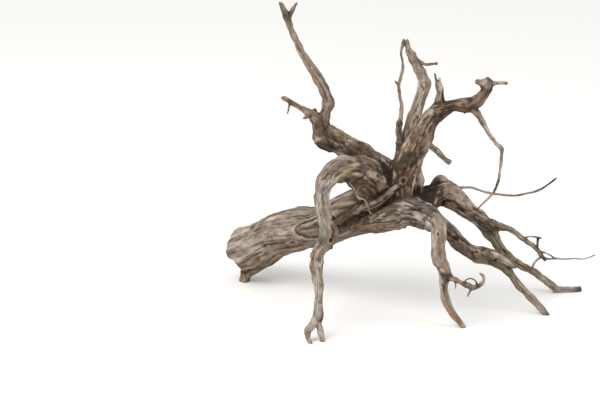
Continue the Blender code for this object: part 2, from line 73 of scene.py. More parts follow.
roots = {
    # The stem, from its broken end at the back left to the hub
    "stem": [
        (-341, 182, 298, 44), (-325, 188, 288, 46), (-302, 199, 272, 43), (-276, 213, 252, 40),
        (-226, 222, 215, 41), (-176, 232, 172, 41), (-126, 255, 130, 46.5), (-76, 266, 95, 48),
        (-30, 274, 74, 43), (0, 270, 76, 32),
    ],
    "stem_lip": [
        (-290, 181, 262, 22), (-314, 158, 286, 20), (-334, 136, 302, 13.5), (-338, 116, 309, 11.5),
    ],
    # The burl on the hub, and the hooped root that leaves it, over and down to a forked foot in front
    "burl": [
        (-54, 280, 72, 30), (-64, 294, 62, 33), (-80, 312, 50, 36), (-96, 331, 40, 37.5),
        (-112, 341, 27, 31),
    ],
    "hoop": [
        (-100, 334, 38, 26), (-118, 343, 24, 28), (-136, 345, 8, 27.5), (-152, 342, -4, 25),
        (-168, 330, -13, 20.5), (-178, 309, -17, 16), (-182, 292, -18, 15), (-182, 274, -18, 15),
        (-175, 246, -14, 15.5), (-170, 220, -8, 16), (-175, 198, -4, 14.5), (-188, 177, -2, 12),
        (-193, 152, 0, 11), (-190, 124, 2, 10), (-187, 98, 2, 8.7), (-190, 72, 2, 9),
        (-190, 46, 2, 9.5),
    ],
    "hoop_left_toe": [
        (-191, 54, 1, 7.5), (-202, 34, 0, 8), (-211, 20, -4, 6.3), (-210, 10, -6, 4.6),
        (-204, -5, -6, 3.5),
    ],
    "hoop_right_toe": [(-190, 52, 3, 7), (-188, 36, 4, 6.5), (-184, 20, 4, 6), (-180, -5, 4, 4.6)],
    "hoop_knot": [
        (-168, 240, -8, 6), (-163, 228, -10, 9.5), (-162, 214, -9, 9.5), (-165, 203, -6, 7),
        (-166, 197, -4, 4),
    ],
    "hoop_nub": [(-174, 206, -6, 10), (-168, 196, -5, 7), (-164, 189, -4, 4)],
    # The root at the back left, with a broken stub and a tall fork
    "back_root": [
        (-34, 304, 85, 26), (-58, 344, 100, 23), (-94, 369, 116, 21.5), (-130, 388, 130, 22.3),
        (-159, 404, 140, 22.5), (-178, 416, 147, 21), (-187, 432, 150, 10),
    ],
    "back_stub": [
        (-182, 428, 148, 13), (-198, 452, 146, 10.5), (-219, 465, 138, 6.5), (-239, 477, 130, 5.7),
        (-252, 484, 122, 5.7), (-257, 487, 120, 5.2),
    ],
    "back_stub_peak": [(-196, 446, 147, 8), (-196, 464, 147, 4)],
    "back_thorn": [(-247, 482, 127, 2.4), (-248, 470, 125, 1.7), (-251, 457, 123, 1.1)],
    "back_knob": [(-200, 455, 143, 4.5), (-209, 452, 136, 3.4), (-218, 448, 132, 2.6)],
    "back_fork": [
        (-176, 412, 146, 16), (-176, 440, 146, 10), (-175, 460, 145, 9.8), (-170, 477, 142, 12.6),
        (-174, 494, 138, 11.6),
        (-186, 519, 130, 10.5), (-204, 550, 120, 8.9), (-223, 578, 110, 7.6), (-237, 610, 100, 7),
        (-249, 638, 90, 7), (-252, 654, 86, 7.6),
    ],
    "back_fork_left": [(-252, 650, 87, 7), (-259, 666, 82, 5.8), (-263, 675, 80, 4.4)],
    "back_fork_right": [(-249, 650, 87, 5.5), (-241, 664, 88, 3.8), (-233, 677, 90, 2.3)],
    # The slender upright root, which meets the tall one at its top
    "whip": [
        (-26, 346, 80, 14), (-26, 384, 72, 8.7), (-27, 408, 70, 7.6), (-28, 430, 68, 7),
        (-25, 450, 66, 5), (-23, 472, 62, 3.6), (-27, 496, 60, 3.3), (-28, 516, 58, 3.7),
        (-24, 530, 58, 3.1), (-20, 552, 60, 2.7), (-24, 577, 64, 2.6), (-22, 590, 69, 3.2),
        (-19, 598, 72, 4), (-19, 604, 73, 2.6),
    ],
    "whip_thorn": [(-29, 514, 58, 2.2), (-33, 518, 57, 1.6), (-36, 522, 56, 1.1)],
    "tall_root": [
        (-22, 306, 80, 26), (-22, 354, 86, 19), (-16, 388, 88, 16), (-6, 424, 86, 13.5),
        (6, 458, 84, 12), (16, 490, 82, 11.2), (23, 518, 80, 12), (17, 535, 79, 11),
        (7, 555, 77, 9), (-3, 574, 74, 7.4), (-9, 588, 72, 6), (-11, 598, 71, 4.4),
        (-11, 604, 71, 3),
    ],
    "tall_twig": [
        (2, 568, 75, 5), (12, 562, 71, 3.8), (24, 556, 65, 3.2), (36, 556, 58, 3),
        (47, 557, 52, 3),
    ],
    # The heavy upper root, which ends in a knuckle of broken stubs
    "upper_root": [
        (-28, 286, 62, 30), (-20, 324, 44, 25), (-10, 356, 34, 26.5), (4, 388, 24, 24.5),
        (18, 416, 16, 24), (31, 440, 10, 21.5), (47, 458, 2, 18.5), (68, 468, -8, 15),
        (87, 474, -18, 12.5), (108, 474, -26, 13), (128, 483, -30, 12.5), (141, 498, -32, 10.4),
        (149, 513, -34, 10), (152, 521, -34, 7),
    ],
    "upper_nub": [(102, 468, -22, 4), (103, 458, -22, 2)],
    "upper_spike": [
        (46, 452, 2, 14), (52, 480, -1, 9), (54, 498, -3, 7.6), (51, 512, -3, 6.4),
        (47, 522, -3, 3.4), (44, 535, -3, 1.8),
    ],
    "upper_stub_left": [(152, 513, -34, 10), (142, 517, -37, 8.5), (134, 519, -40, 5.6), (126, 521, -42, 4.4)],
    "upper_stub_top": [(148, 512, -34, 9), (149, 522, -31, 7.2), (149, 527, -30, 5.2)],
    "upper_stub_right": [
        (149, 516, -34, 8), (166, 518, -30, 4.4), (180, 518, -26, 3.8), (188, 517, -24, 3.5),
    ],
    "hanging_twig": [
        (110, 476, -27, 10), (128, 457, -26, 6.8), (139, 440, -22, 5.2), (152, 416, -14, 4.2),
        (165, 398, -4, 4.1), (176, 388, 4, 4.4), (177, 368, 16, 3.5), (174, 344, 32, 3.0),
        (170, 320, 50, 3.1), (160, 298, 72, 2.8), (145, 282, 92, 2.5), (133, 270, 108, 2.6),
        (126, 258, 120, 2.8),
    ],
    "peg": [
        (10, 408, 36, 9), (36, 392, 52, 7), (51, 379, 60, 5.8), (67, 364, 70, 4.8),
        (74, 359, 74, 4.7),
    ],
    # The right root, which peaks and then forks into fingers and a runner
    "right_root": [
        (-6, 270, 84, 30), (22, 279, 94, 25), (43, 290, 100, 24.5), (60, 299, 104, 25),
        (81, 286, 112, 22.5), (104, 266, 122, 18), (131, 249, 132, 15.5), (152, 230, 140, 13),
    ],
    "right_peak": [
        (6, 286, 92, 17), (30, 301, 97, 12), (43, 312, 100, 10.5), (54, 324.5, 102, 9),
        (66, 314, 106, 10.5), (84, 302, 112, 11), (101, 284, 118, 10),
    ],
    "fingers": [
        (140, 238, 138, 13), (170, 231, 146, 9), (190, 227, 150, 7), (210, 214, 154, 5.8),
        (230, 199, 158, 4.8), (248, 185, 162, 4.6), (258, 172, 165, 4), (264, 164, 167, 2.8),
    ],
    "finger_upright": [(249, 184, 161, 2.8), (249, 198, 156, 2.1), (250, 207, 152, 3)],
    "finger_loop": [
        (224, 204, 156, 2.4), (228, 210, 152, 1.6), (240, 211, 148, 1.5), (256, 208, 145, 1.7),
    ],
    "finger_whisker": [
        (260, 168, 165, 2.6), (274, 166, 168, 1.9), (286, 167, 172, 1.8), (304, 166, 178, 1.5),
        (322, 167, 184, 1.4), (340, 166, 190, 1.3), (354, 170, 195, 1.1), (364, 174, 199, 1.0),
    ],
    "finger_side": [(252, 181, 162, 2.6), (268, 177, 166, 1.6), (284, 167, 171, 1.5)],
    "finger_down": [(256, 171, 165, 2.6), (244, 160, 168, 2.2), (238, 148, 172, 1.9)],
    "runner": [
        (142, 238, 136, 14), (161, 210, 146, 11.8), (175, 188, 156, 9.8), (193, 168, 170, 9),
        (216, 154, 186, 7.8), (239, 142, 202, 7.1), (258, 129, 218, 6.6), (273, 117, 234, 7),
        (290, 105, 244, 7.6), (312, 104, 247, 6.2), (335, 106, 249, 5.2),
    ],
    # The thin feeler from the right root's peak
    "feeler": [
        (62, 298, 112, 7), (84, 307, 128, 3.2), (100, 309, 134, 2.7), (118, 309, 138, 2.7),
        (138, 302, 142, 2.6), (160, 297, 146, 2.3), (184, 294, 148, 2.1), (204, 293, 148, 2.3),
        (226, 297, 146, 2), (250, 303, 142, 2.4), (270, 315, 136, 1.9), (286, 327, 130, 1.7),
    ],
    # The prop root, a leg to the right with a broken ledge halfway
    "prop": [
        (8, 260, 74, 27), (44, 241, 80, 22), (70, 220, 88, 18.7), (92, 199, 96, 17),
        (115, 182, 103, 15), (144, 173, 110, 16), (168, 164, 114, 14.6), (185, 150, 118, 11.5),
        (199, 131, 121, 8.6), (214, 110, 125, 8), (236, 90, 128, 7.2), (254, 71, 130, 6.4),
        (269, 53, 132, 5.6),
    ],
    "prop_ledge": [
        (144, 181, 101, 10), (170, 170, 101, 7.5), (190, 158, 103, 5.5), (201, 151, 104, 4),
    ],
    # The front root, a leg towards the eye with a hooked twig
    "front_burl": [
        (-128, 236, 90, 12), (-98, 240, 78, 17), (-68, 249, 64, 24), (-42, 254, 54, 29.5),
        (-16, 260, 46, 30), (8, 256, 39, 26.5), (32, 248, 29, 21.5),
        (44, 238, 20, 14),
    ],
    "front_root": [
        (6, 254, 38, 20), (30, 248, 29, 18.5), (46, 238, 19, 16.5), (51, 218, 14, 15),
        (49, 194, 14, 14.4), (50, 174, 16, 14.6), (58, 154, 20, 13.2), (64, 134, 26, 11.6),
        (62, 116, 34, 9.2), (63, 96, 44, 8.2), (68, 76, 52, 8), (80, 56, 60, 7), (92, 43, 66, 6.2),
        (102, 28, 71, 4.6),
    ],
    "hook": [
        (66, 136, 27, 9), (80, 126, 22, 6), (94, 120, 18, 5), (108, 113, 14, 5.2),
        (122, 109, 10, 4.8), (134, 113, 8, 4), (142, 123, 8, 3.4), (141, 132, 10, 2.8),
        (134, 137, 12, 1.8),
    ],
    "hook_arc": [
        (102, 114, 15, 2.6), (106, 124, 8, 1.6), (116, 127, 4, 1.6), (124, 123, 3, 1.6),
        (130, 112, 8, 2.2),
    ],
    "hook_twig": [(117, 110, 11, 3), (113, 100, 8, 2.4), (109, 92, 6, 1.8)],
    "hook_thorn": [(85, 124, 21, 2.2), (85, 115, 19, 1.5), (85, 107, 18, 1.0)],
    # A strap of wood that crosses the hub, and a zigzag rootlet that hangs in front of it
    "strap": [
        (-14, 324, 24, 3.6), (-28, 315, 23, 4.2), (-44, 303, 22, 5), (-58, 291, 22, 5.6), (-72, 281, 24, 6.2),
        (-88, 275, 32, 6.8), (-105, 268, 46, 7.4), (-126, 256, 67, 7.6), (-150, 240, 89, 6.6), (-166, 230, 102, 5),
    ],
    "strap_fibre": [(-38, 300, 20, 1.5), (-54, 285, 18, 1.6), (-70, 273, 20, 1.6), (-86, 266, 26, 1.4), (-98, 262, 38, 1.4)],
    "rootlet": [
        (-136, 336, -6, 3.4), (-127, 318, 0, 1.9), (-118, 306, 4, 1.7), (-112, 294, 6, 1.8),
        (-108, 287, 8, 2), (-100, 286, 10, 1.6), (-94, 279, 14, 1.6), (-89, 267, 24, 1.6),
        (-83, 252, 42, 1.6),
    ],
    "rootlet_spur": [(-114, 298, 5, 1.8), (-110, 306, 3, 1.4), (-107, 312, 2, 0.9)],
    # The rib behind the upper root, down to the hub
    "rib": [(2, 366, 52, 10), (8, 342, 54, 11.5), (11, 326, 58, 12.5), (10, 306, 64, 13)],
    "rib_edge": [(15, 376, 8, 1.6), (9, 352, 16, 2.2), (4, 330, 25, 2.6), (0, 312, 30, 2.4), (-4, 294, 32, 1.8)],
    "upper_spike_tip": [(54, 506, -4, 4.4), (54, 520, -5, 3), (53, 528, -5, 1.8)],
    "back_neck": [(-178, 402, 140, 21), (-184, 422, 145, 15.5), (-189, 442, 147, 11), (-190, 452, 147, 7)],
}


# An sRGB hex colour as linear red, green, blue and alpha
def linear(colour):
    parts = [int(colour[i : i + 2], 16) / 255 for i in (1, 3, 5)]
    return tuple(c / 12.92 if c <= 0.04045 else ((c + 0.055) / 1.055) ** 2.4 for c in parts) + (1.0,)

cutTips = ("peg", "runner", "prop", "upper_stub_left", "upper_stub_right", "front_root")
brokenTips = ("back_stub", "upper_spike", "prop_ledge", "back_fork_left")

# The form that every root has before its surface is worked
form = {
    "pathStep": 2.0,
    "tooSteep": 0.9,  # a root that starts nearer than this to its side direction takes another one
    "aroundGap": 1.2,  # between a ring's corners, and that much more for each mm of radius
    "aroundGapPerRadius": 0.022,
    "fewestSides": 7,
    "longSteps": 1.95,  # a ring's distance to the next, in gaps round the root
    "fluteDepth": 0.075,  # of the radius
    "flutes": (2, 3, 5),
    "grainTwist": 0.010,  # radians a millimetre, at most
    "lumpDepth": 0.05,
    "lumpWaves": (3.2, 5.6, 9.5),  # in radii
    "lumpRadiusLeast": 3.0,
    "fillet": 0.62,  # how far two roots grow together where they meet, against the thinner one
    "filletLeast": 1.0,
    "filletMost": 13.0,
    "weldGap": 0.12,  # points nearer than this are one
    "mendingRounds": 8,
    "seamReachMost": 7.0,
    "seamRounds": 14,
}

# How a tip closes: how far past the last ring, against its radius, and the share of its size
tips = {
    "cut": ((0.0, 1.0), (0.07, 0.97), (0.13, 0.88), (0.1, 0.7), (0.12, 0.5), (0.08, 0.25)),
    "broken": ((0.0, 1.0), (0.5, 0.85), (0.9, 0.62), (0.75, 0.45), (0.3, 0.3), (0.0, 0.15)),
    "worn": ((0.0, 1.0), (0.25, 0.92), (0.45, 0.78), (0.65, 0.6), (0.8, 0.4), (0.88, 0.2)),
    "brokenRagged": 0.75,
}

# The stem's broken end, in mm outside its first ring: the worn rim, the face and the rotten heart
stemEnd = {
    "profile": (
        (2.5, 0.985), (4.5, 0.95), (4.0, 0.9), (1.5, 0.83), (-0.5, 0.75), (-1.0, 0.66), (-4.5, 0.56),
        (-9.0, 0.46), (-13.0, 0.36), (-16.0, 0.26), (-17.5, 0.16), (-18.0, 0.07),
    ),
    "splinterReach": 7.0,
    "splinters": 21.0,  # round the rim
    "crumble": 3.0,
}


def hashed(ix, iy, iz, seed):
    h = ix * np.int64(374761393) + iy * np.int64(668265263) + iz * np.int64(2147483647)
    h = (h + np.int64(seed) * np.int64(1274126177)) & np.int64(0xFFFFFFFF)
    h = ((h ^ (h >> 13)) * np.int64(1103515245)) & np.int64(0xFFFFFFFF)
    return ((h ^ (h >> 16)) & np.int64(0xFFFF)) / 32767.5 - 1.0


# Smooth noise from -1 to 1 with one bump to a unit
def noise(points, seed):
    cell = np.floor(points).astype(np.int64)
    part = points - cell
    part = part * part * part * (part * (part * 6 - 15) + 10)
    total = 0.0
    for dx in (0, 1):
        for dy in (0, 1):
            for dz in (0, 1):
                weight = (
                    (part[:, 0] if dx else 1 - part[:, 0])
                    * (part[:, 1] if dy else 1 - part[:, 1])
                    * (part[:, 2] if dz else 1 - part[:, 2])
                )
                total = total + weight * hashed(cell[:, 0] + dx, cell[:, 1] + dy, cell[:, 2] + dz, seed)
    return total * 1.5


def smoothstep(low, high, values):
    t = np.clip((values - low) / (high - low), 0.0, 1.0)
    return t * t * (3 - 2 * t)


def unit(vectors):
    return vectors / np.maximum(np.linalg.norm(vectors, axis=-1, keepdims=True), 1e-9)


# A route of the sheet as rows of x, y, z and radius in mm, with the ground at z = 0
def overGround(route):
    across, up, back, radius = np.array(route, float).T
    spread = 1.0 + back / sheet["eyeDistance"]
    rise = sheet["eyeUp"] + (up - sheet["eyeUp"]) * spread
    x = sheet["eyeAcross"] + (across - sheet["eyeAcross"]) * spread - sheet["middleX"]
    y = rise * math.sin(sheet["lean"]) + back * math.cos(sheet["lean"]) - sheet["middleY"]
    z = rise * math.cos(sheet["lean"]) - back * math.sin(sheet["lean"])
    return np.column_stack([x, y, z, radius * spread])


# Where a point over the ground shows on the sheet: across and up
def onSheet(points):
    x = points[:, 0] + sheet["middleX"]
    y = points[:, 1] + sheet["middleY"]
    rise = y * math.sin(sheet["lean"]) + points[:, 2] * math.cos(sheet["lean"])
    back = y * math.cos(sheet["lean"]) - points[:, 2] * math.sin(sheet["lean"])
    spread = 1.0 + back / sheet["eyeDistance"]
    across = sheet["eyeAcross"] + (x - sheet["eyeAcross"]) / spread
    up = sheet["eyeUp"] + (rise - sheet["eyeUp"]) / spread
    return np.column_stack([across, up, back])


def smoothPath(rows):
    gaps = np.linalg.norm(np.diff(rows[:, :3], axis=0), axis=1)
    times = np.sqrt(gaps)[:, None]
    slopes = np.diff(rows, axis=0) / times
    inner = (slopes[:-1] * times[1:] + slopes[1:] * times[:-1]) / (times[:-1] + times[1:])
    tangents = np.vstack([slopes[:1], inner, slopes[-1:]])
    samples = []
    for i, gap in enumerate(gaps):
        t = np.arange(0, 1, form["pathStep"] / max(gap, form["pathStep"]))[:, None]
        samples.append(
            (2 * t**3 - 3 * t**2 + 1) * rows[i]
            + (t**3 - 2 * t**2 + t) * times[i] * tangents[i]
            + (3 * t**2 - 2 * t**3) * rows[i + 1]
            + (t**3 - t**2) * times[i] * tangents[i + 1]
        )
    samples.append(rows[-1:])
    return np.vstack(samples)


# Tangent, side and over directions at each point, turned no more than the curve needs
def framesAlong(points):
    tangents = unit(np.gradient(points, axis=0))
    toFront = np.array([0.0, -1.0, 0.0])
    side = toFront if abs(tangents[0] @ toFront) < form["tooSteep"] else np.array([0.0, 0.0, 1.0])
    sides = []
    for tangent in tangents:
        side = unit(side - tangent * (side @ tangent))
        sides.append(side)
    sides = np.array(sides)
    return tangents, sides, np.cross(tangents, sides)


# What flutes along the grain and slow lumps make of a root's radius
def girth(name, angle, along, thickness):
    draw = random.Random(name)
    factor = np.ones(np.broadcast_shapes(angle.shape, along.shape))
    for ridges in form["flutes"]:
        depth = form["fluteDepth"] * draw.uniform(0.5, 1.0) / math.sqrt(ridges)
        turn = draw.uniform(-1.0, 1.0) * form["grainTwist"]
        start = draw.uniform(0.0, math.tau)
        factor = factor + depth * np.cos(ridges * angle + turn * along + start)
    for wave in form["lumpWaves"]:
        length = wave * max(thickness, form["lumpRadiusLeast"]) * draw.uniform(0.8, 1.25)
        start = draw.uniform(0.0, math.tau)
        lean = draw.choice((0, 1, 1, 2))
        factor = factor + form["lumpDepth"] * np.cos(math.tau * along / length + lean * angle + start)
    return factor


def tipKind(name):
    if name in cutTips:
        return "cut"
    return "broken" if name in brokenTips else "worn"


# The rings that close a root's tip: each a ring of points, and how far it runs past the end
def tipRings(name, last, centre, tangent, radius, angle, seed):
    rings = []
    kind = tipKind(name)
    for past, share in tips[kind]:
        reach = np.full(len(angle), past * radius)
        if kind == "broken" and past:
            spots = np.column_stack([3 * np.cos(angle), 3 * np.sin(angle), np.full(len(angle), share * 4)])
            reach = reach + noise(spots, seed) * tips["brokenRagged"] * radius
        rings.append((centre + (last - centre) * share + reach[:, None] * tangent, past * radius))
    return rings


# The stem's broken end, from the bottom of its rotten heart out to the rim
def stemEndRings(first, centre, tangent, angle, seed):
    rings = []
    for out, share in stemEnd["profile"]:
        turn = stemEnd["splinters"] / math.tau
        fine = np.column_stack([turn * np.cos(angle), turn * np.sin(angle), np.full(len(angle), share)])
        rough = np.column_stack([2 * np.cos(angle), 2 * np.sin(angle), np.full(len(angle), 3 * share)])
        splinter = np.maximum(noise(fine, seed), 0) * stemEnd["splinterReach"] * smoothstep(0.6, 0.95, share)
        crumble = noise(rough, seed + 1) * stemEnd["crumble"] + noise(fine * 1.7, seed + 2) * 1.2
        reach = out + splinter + crumble * min(1.0, 3 * share)
        rings.append((centre + (first - centre) * share - reach[:, None] * tangent, -out))
    return rings[::-1]


# One root as a closed tube: its points and faces, and for each point its centre line's angle,
# distance along and radius
def rootTube(name, seed):
    path = smoothPath(overGround(roots[name]))
    points, radius = path[:, :3], path[:, 3]
    along = np.concatenate([[0.0], np.cumsum(np.linalg.norm(np.diff(points, axis=0), axis=1))])
    typical = float(np.median(radius))
    gap = form["aroundGap"] + form["aroundGapPerRadius"] * typical
    sides = max(form["fewestSides"], round(math.tau * typical / gap))
    ringCount = max(4, round(along[-1] / (gap * form["longSteps"])))
    places = np.linspace(0, along[-1], ringCount + 1)

    def atPlaces(values):
        return np.column_stack([np.interp(places, along, column) for column in values.T])

    centres = atPlaces(points)
    tangents, sideways, overs = (atPlaces(values) for values in framesAlong(points))
    ringRadius = np.interp(places, along, radius)
    angle = np.linspace(0.0, math.tau, sides, endpoint=False)
    reach = ringRadius[:, None] * girth(name, angle[None, :], places[:, None], typical)
    outward = (
        np.cos(angle)[None, :, None] * sideways[:, None, :]
        + np.sin(angle)[None, :, None] * overs[:, None, :]
    )
    rings = list(centres[:, None, :] + reach[:, :, None] * outward)
    distances = list(places)
    radii = list(ringRadius)
    tip = tipRings(name, rings[-1], centres[-1], tangents[-1], ringRadius[-1], angle, seed)
    rings = rings[:-1] + [ring for ring, past in tip]
    distances = distances[:-1] + [places[-1] + past for ring, past in tip]
    radii = radii[:-1] + [ringRadius[-1]] * len(tip)
    endRings = [0] * (len(rings) - len(tip)) + [1] * len(tip)
    start, lead = centres[0], 0
    if name == "stem":
        broken = stemEndRings(rings[0], centres[0], tangents[0], angle, seed)
        rings = [ring for ring, past in broken] + rings
        distances = [past for ring, past in broken] + distances
        radii = [ringRadius[0]] * len(broken) + radii
        endRings = [1] * len(broken) + endRings
        start, lead = rings[0].mean(axis=0), len(broken)
    end = rings[-1].mean(axis=0)
    verts = np.vstack([np.concatenate(rings), start[None], end[None]])
    count = len(rings)
    ids = np.arange(count * sides).reshape(count, sides)
    after = np.roll(ids, -1, axis=1)
    quads = np.stack([ids[:-1], after[:-1], after[1:], ids[1:]], axis=-1).reshape(-1, 4)
    swap = (np.arange(len(quads)) % 2 == 0)[:, None]
    halves = np.concatenate([
        np.where(swap, quads[:, [0, 1, 2]], quads[:, [0, 1, 3]]),
        np.where(swap, quads[:, [0, 2, 3]], quads[:, [1, 2, 3]]),
    ])
    startPole, endPole = count * sides, count * sides + 1
    caps = np.concatenate([
        np.column_stack([np.full(sides, startPole), after[0], ids[0]]),
        np.column_stack([np.full(sides, endPole), ids[-1], after[-1]]),
    ])
    return {
        "name": name,
        "verts": verts,
        "faces": np.concatenate([halves, caps]),
        "angle": np.concatenate([np.tile(angle, count), [0.0, 0.0]]),
        "along": np.concatenate([np.repeat(distances, sides), [distances[0], distances[-1]]]),
        "radius": np.concatenate([np.repeat(radii, sides), [radii[0], radii[-1]]]),
        "end": np.concatenate([np.repeat(endRings, sides), [endRings[0], endRings[-1]]]),
        "centres": points,
        "centreRadius": radius,
        "grainward": np.concatenate([
            np.repeat(np.vstack([tangents[:1]] * lead + [tangents] + [tangents[-1:]] * (len(tip) - 1)),
                      sides, axis=0),
            tangents[:1], tangents[-1:],
        ]),
    }


# Normals and average neighbours of a triangle mesh's points
def normalsOf(verts, faces):
    a, b, c = (verts[faces[:, i]] for i in range(3))
    across = np.cross(b - a, c - a)
    total = np.zeros_like(verts)
    for corner in range(3):
        for axis in range(3):
            total[:, axis] += np.bincount(faces[:, corner], across[:, axis], len(verts))
    return unit(total)


def neighbourMean(values, edges, degree):
    columns = []
    for column in values.T:
        total = np.bincount(edges[:, 0], column[edges[:, 1]], len(values))
        total += np.bincount(edges[:, 1], column[edges[:, 0]], len(values))
        columns.append(total / degree)
    return np.column_stack(columns)


def softened(values, edges, degree, share, rounds):
    values = values.reshape(len(values), -1).copy()
    for _ in range(rounds):
        values += (neighbourMean(values, edges, degree) - values) * share
    return values


# How near each point of a tube is to the other roots' surfaces, and how far out it grows to join them
def growTogether(tube, tubes):
    verts = tube["verts"]
    nearest = np.full(len(verts), 100.0)
    swell = np.zeros(len(verts))
    for other in tubes:
        if other is tube:
            continue
        reach = form["filletMost"] + other["centreRadius"].max()
        low, high = other["centres"].min(axis=0) - reach, other["centres"].max(axis=0) + reach
        near = np.nonzero(np.all((verts > low) & (verts < high), axis=1))[0]
        if not len(near):
            continue
        point, centre = verts[near], other["centres"]
        squares = (point**2).sum(axis=1)[:, None] + (centre**2).sum(axis=1) - 2 * point @ centre.T
        gaps = np.sqrt(np.maximum(squares, 0)) - other["centreRadius"]
        which = gaps.argmin(axis=1)
        gap = gaps[np.arange(len(near)), which]
        thinner = np.minimum(tube["radius"][near], other["centreRadius"][which])
        fillet = np.clip(form["fillet"] * thinner, form["filletLeast"], form["filletMost"])
        grown = np.maximum(fillet - np.abs(gap), 0) ** 2 / (4 * fillet)
        swell[near] = np.maximum(swell[near], grown)
        nearest[near] = np.minimum(nearest[near], gap)
    return nearest, swell


def meshOf(name, verts, faces):
    mesh = bpy.data.meshes.new(name)
    mesh.from_pydata((verts * mm).tolist(), [], faces.tolist())
    mesh.update()
    return mesh


def applied(thing):
    graph = bpy.context.evaluated_depsgraph_get()
    made = bpy.data.meshes.new_from_object(thing.evaluated_get(graph))
    thing.modifiers.clear()
    thing.data = made


# All tubes as one closed mesh, worn flat where it stands on the ground
def grownTogether(tubes):
    branches = bpy.data.collections.new("branches")
    bpy.context.scene.collection.children.link(branches)
    trunk = bpy.data.objects.new("driftwood", meshOf(tubes[0]["name"], tubes[0]["verts"], tubes[0]["faces"]))
    bpy.context.scene.collection.objects.link(trunk)
    for tube in tubes[1:]:
        branches.objects.link(bpy.data.objects.new(tube["name"], meshOf(tube["name"], tube["verts"], tube["faces"])))
    union = trunk.modifiers.new("grown together", "BOOLEAN")
    union.operation = "UNION"
    union.operand_type = "COLLECTION"
    union.solver = "MANIFOLD"
    union.collection = branches
    applied(trunk)
    for branch in list(branches.objects):
        bpy.data.objects.remove(branch, do_unlink=True)
    bpy.data.collections.remove(branches)
    soil = bmesh.new()
    bmesh.ops.create_cube(soil, size=2.0)
    bmesh.ops.translate(soil, verts=soil.verts[:], vec=(0.0, 0.0, -1.0))
    ground = bpy.data.objects.new("ground", bpy.data.meshes.new("ground"))
    soil.to_mesh(ground.data)
    soil.free()
    bpy.context.scene.collection.objects.link(ground)
    cut = trunk.modifiers.new("worn flat", "BOOLEAN")
    cut.operation = "DIFFERENCE"
    cut.solver = "MANIFOLD"
    cut.object = ground
    applied(trunk)
    bpy.data.objects.remove(ground, do_unlink=True)
    return trunk


tubes = [rootTube(name, 11 + number) for number, name in enumerate(roots)]
for tube in tubes:
    tube["near"], tube["swell"] = growTogether(tube, tubes)
for tube in tubes:
    tube["verts"] = tube["verts"] + normalsOf(tube["verts"], tube["faces"]) * tube["swell"][:, None]
print("roots lofted:", len(tubes), "with", sum(len(tube["faces"]) for tube in tubes), "triangles")

driftwood = grownTogether(tubes)
print("grown together:", len(driftwood.data.polygons), "faces")

# What each point of the joined mesh takes from the tube that it came from
source = {
    key: np.concatenate([tube[key] for tube in tubes])
    for key in ("verts", "angle", "along", "radius", "end", "near", "grainward")
}
source["root"] = np.concatenate([np.full(len(tube["verts"]), i) for i, tube in enumerate(tubes)])


# Draws each edge that hasn't exactly two faces together to a point, until none is left
def mended(shape):
    for attempt in range(form["mendingRounds"]):
        wrong = [edge for edge in shape.edges if len(edge.link_faces) != 2]
        if not wrong:
            break
        bmesh.ops.collapse(shape, edges=wrong)
        loose = [vert for vert in shape.verts if not vert.link_faces]
        bmesh.ops.delete(shape, geom=loose, context="VERTS")
    print("mesh mended, rounds:", attempt, "edges left:", len(wrong))


def cleaned(thing):
    shape = bmesh.new()
    shape.from_mesh(thing.data)
    bmesh.ops.triangulate(shape, faces=shape.faces[:])
    bmesh.ops.remove_doubles(shape, verts=shape.verts[:], dist=form["weldGap"] * mm)
    bmesh.ops.dissolve_degenerate(shape, edges=shape.edges[:], dist=form["weldGap"] * mm)
    bmesh.ops.triangulate(shape, faces=shape.faces[:])
    loose = [vert for vert in shape.verts if not vert.link_faces]
    bmesh.ops.delete(shape, geom=loose, context="VERTS")
    mended(shape)
    shape.to_mesh(thing.data)
    shape.free()


def arraysOf(mesh):
    verts = np.empty(len(mesh.vertices) * 3)
    mesh.vertices.foreach_get("co", verts)
    faces = np.empty(len(mesh.loops), np.int64)
    mesh.loops.foreach_get("vertex_index", faces)
    edges = np.empty(len(mesh.edges) * 2, np.int64)
    mesh.edges.foreach_get("vertices", edges)
    return verts.reshape(-1, 3) / mm, faces.reshape(-1, 3), edges.reshape(-1, 2)


cleaned(driftwood)
verts, faces, edges = arraysOf(driftwood.data)
degree = np.bincount(edges.ravel(), minlength=len(verts)).astype(float)

places = KDTree(len(source["verts"]))
for i, point in enumerate(source["verts"].tolist()):
    places.insert(point, i)
places.balance()
origin = np.empty(len(verts), np.int64)
offRoot = np.empty(len(verts))
for i, point in enumerate(verts.tolist()):
    found, origin[i], offRoot[i] = places.find(point)
angle, along, radius = source["angle"][origin], source["along"][origin], source["radius"][origin]
rootOf, rootGap, isEnd = source["root"][origin], source["near"][origin], source["end"][origin]
grainward = unit(source["grainward"][origin])

onGround = verts[:, 2] < 0.02
seam = (offRoot > form["weldGap"] * 1.5) & ~onGround
seamTree = KDTree(int(seam.sum()))
for i, point in enumerate(verts[seam].tolist()):
    seamTree.insert(point, i)
seamTree.balance()
seamGap = np.array([seamTree.find(point)[2] for point in verts.tolist()])
seamReach = np.clip(0.35 * radius, 1.2, form["seamReachMost"])
seamShare = 1 - smoothstep(0.3, 1.0, seamGap / seamReach)
print("seam points:", int(seam.sum()), "of", len(verts))


# Rounds the creases where roots meet, and leaves the rest
for _ in range(form["seamRounds"]):
    move = neighbourMean(verts, edges, degree) - verts
    move[onGround, 2] = 0.0
    verts = verts + move * (0.6 * seamShare)[:, None]


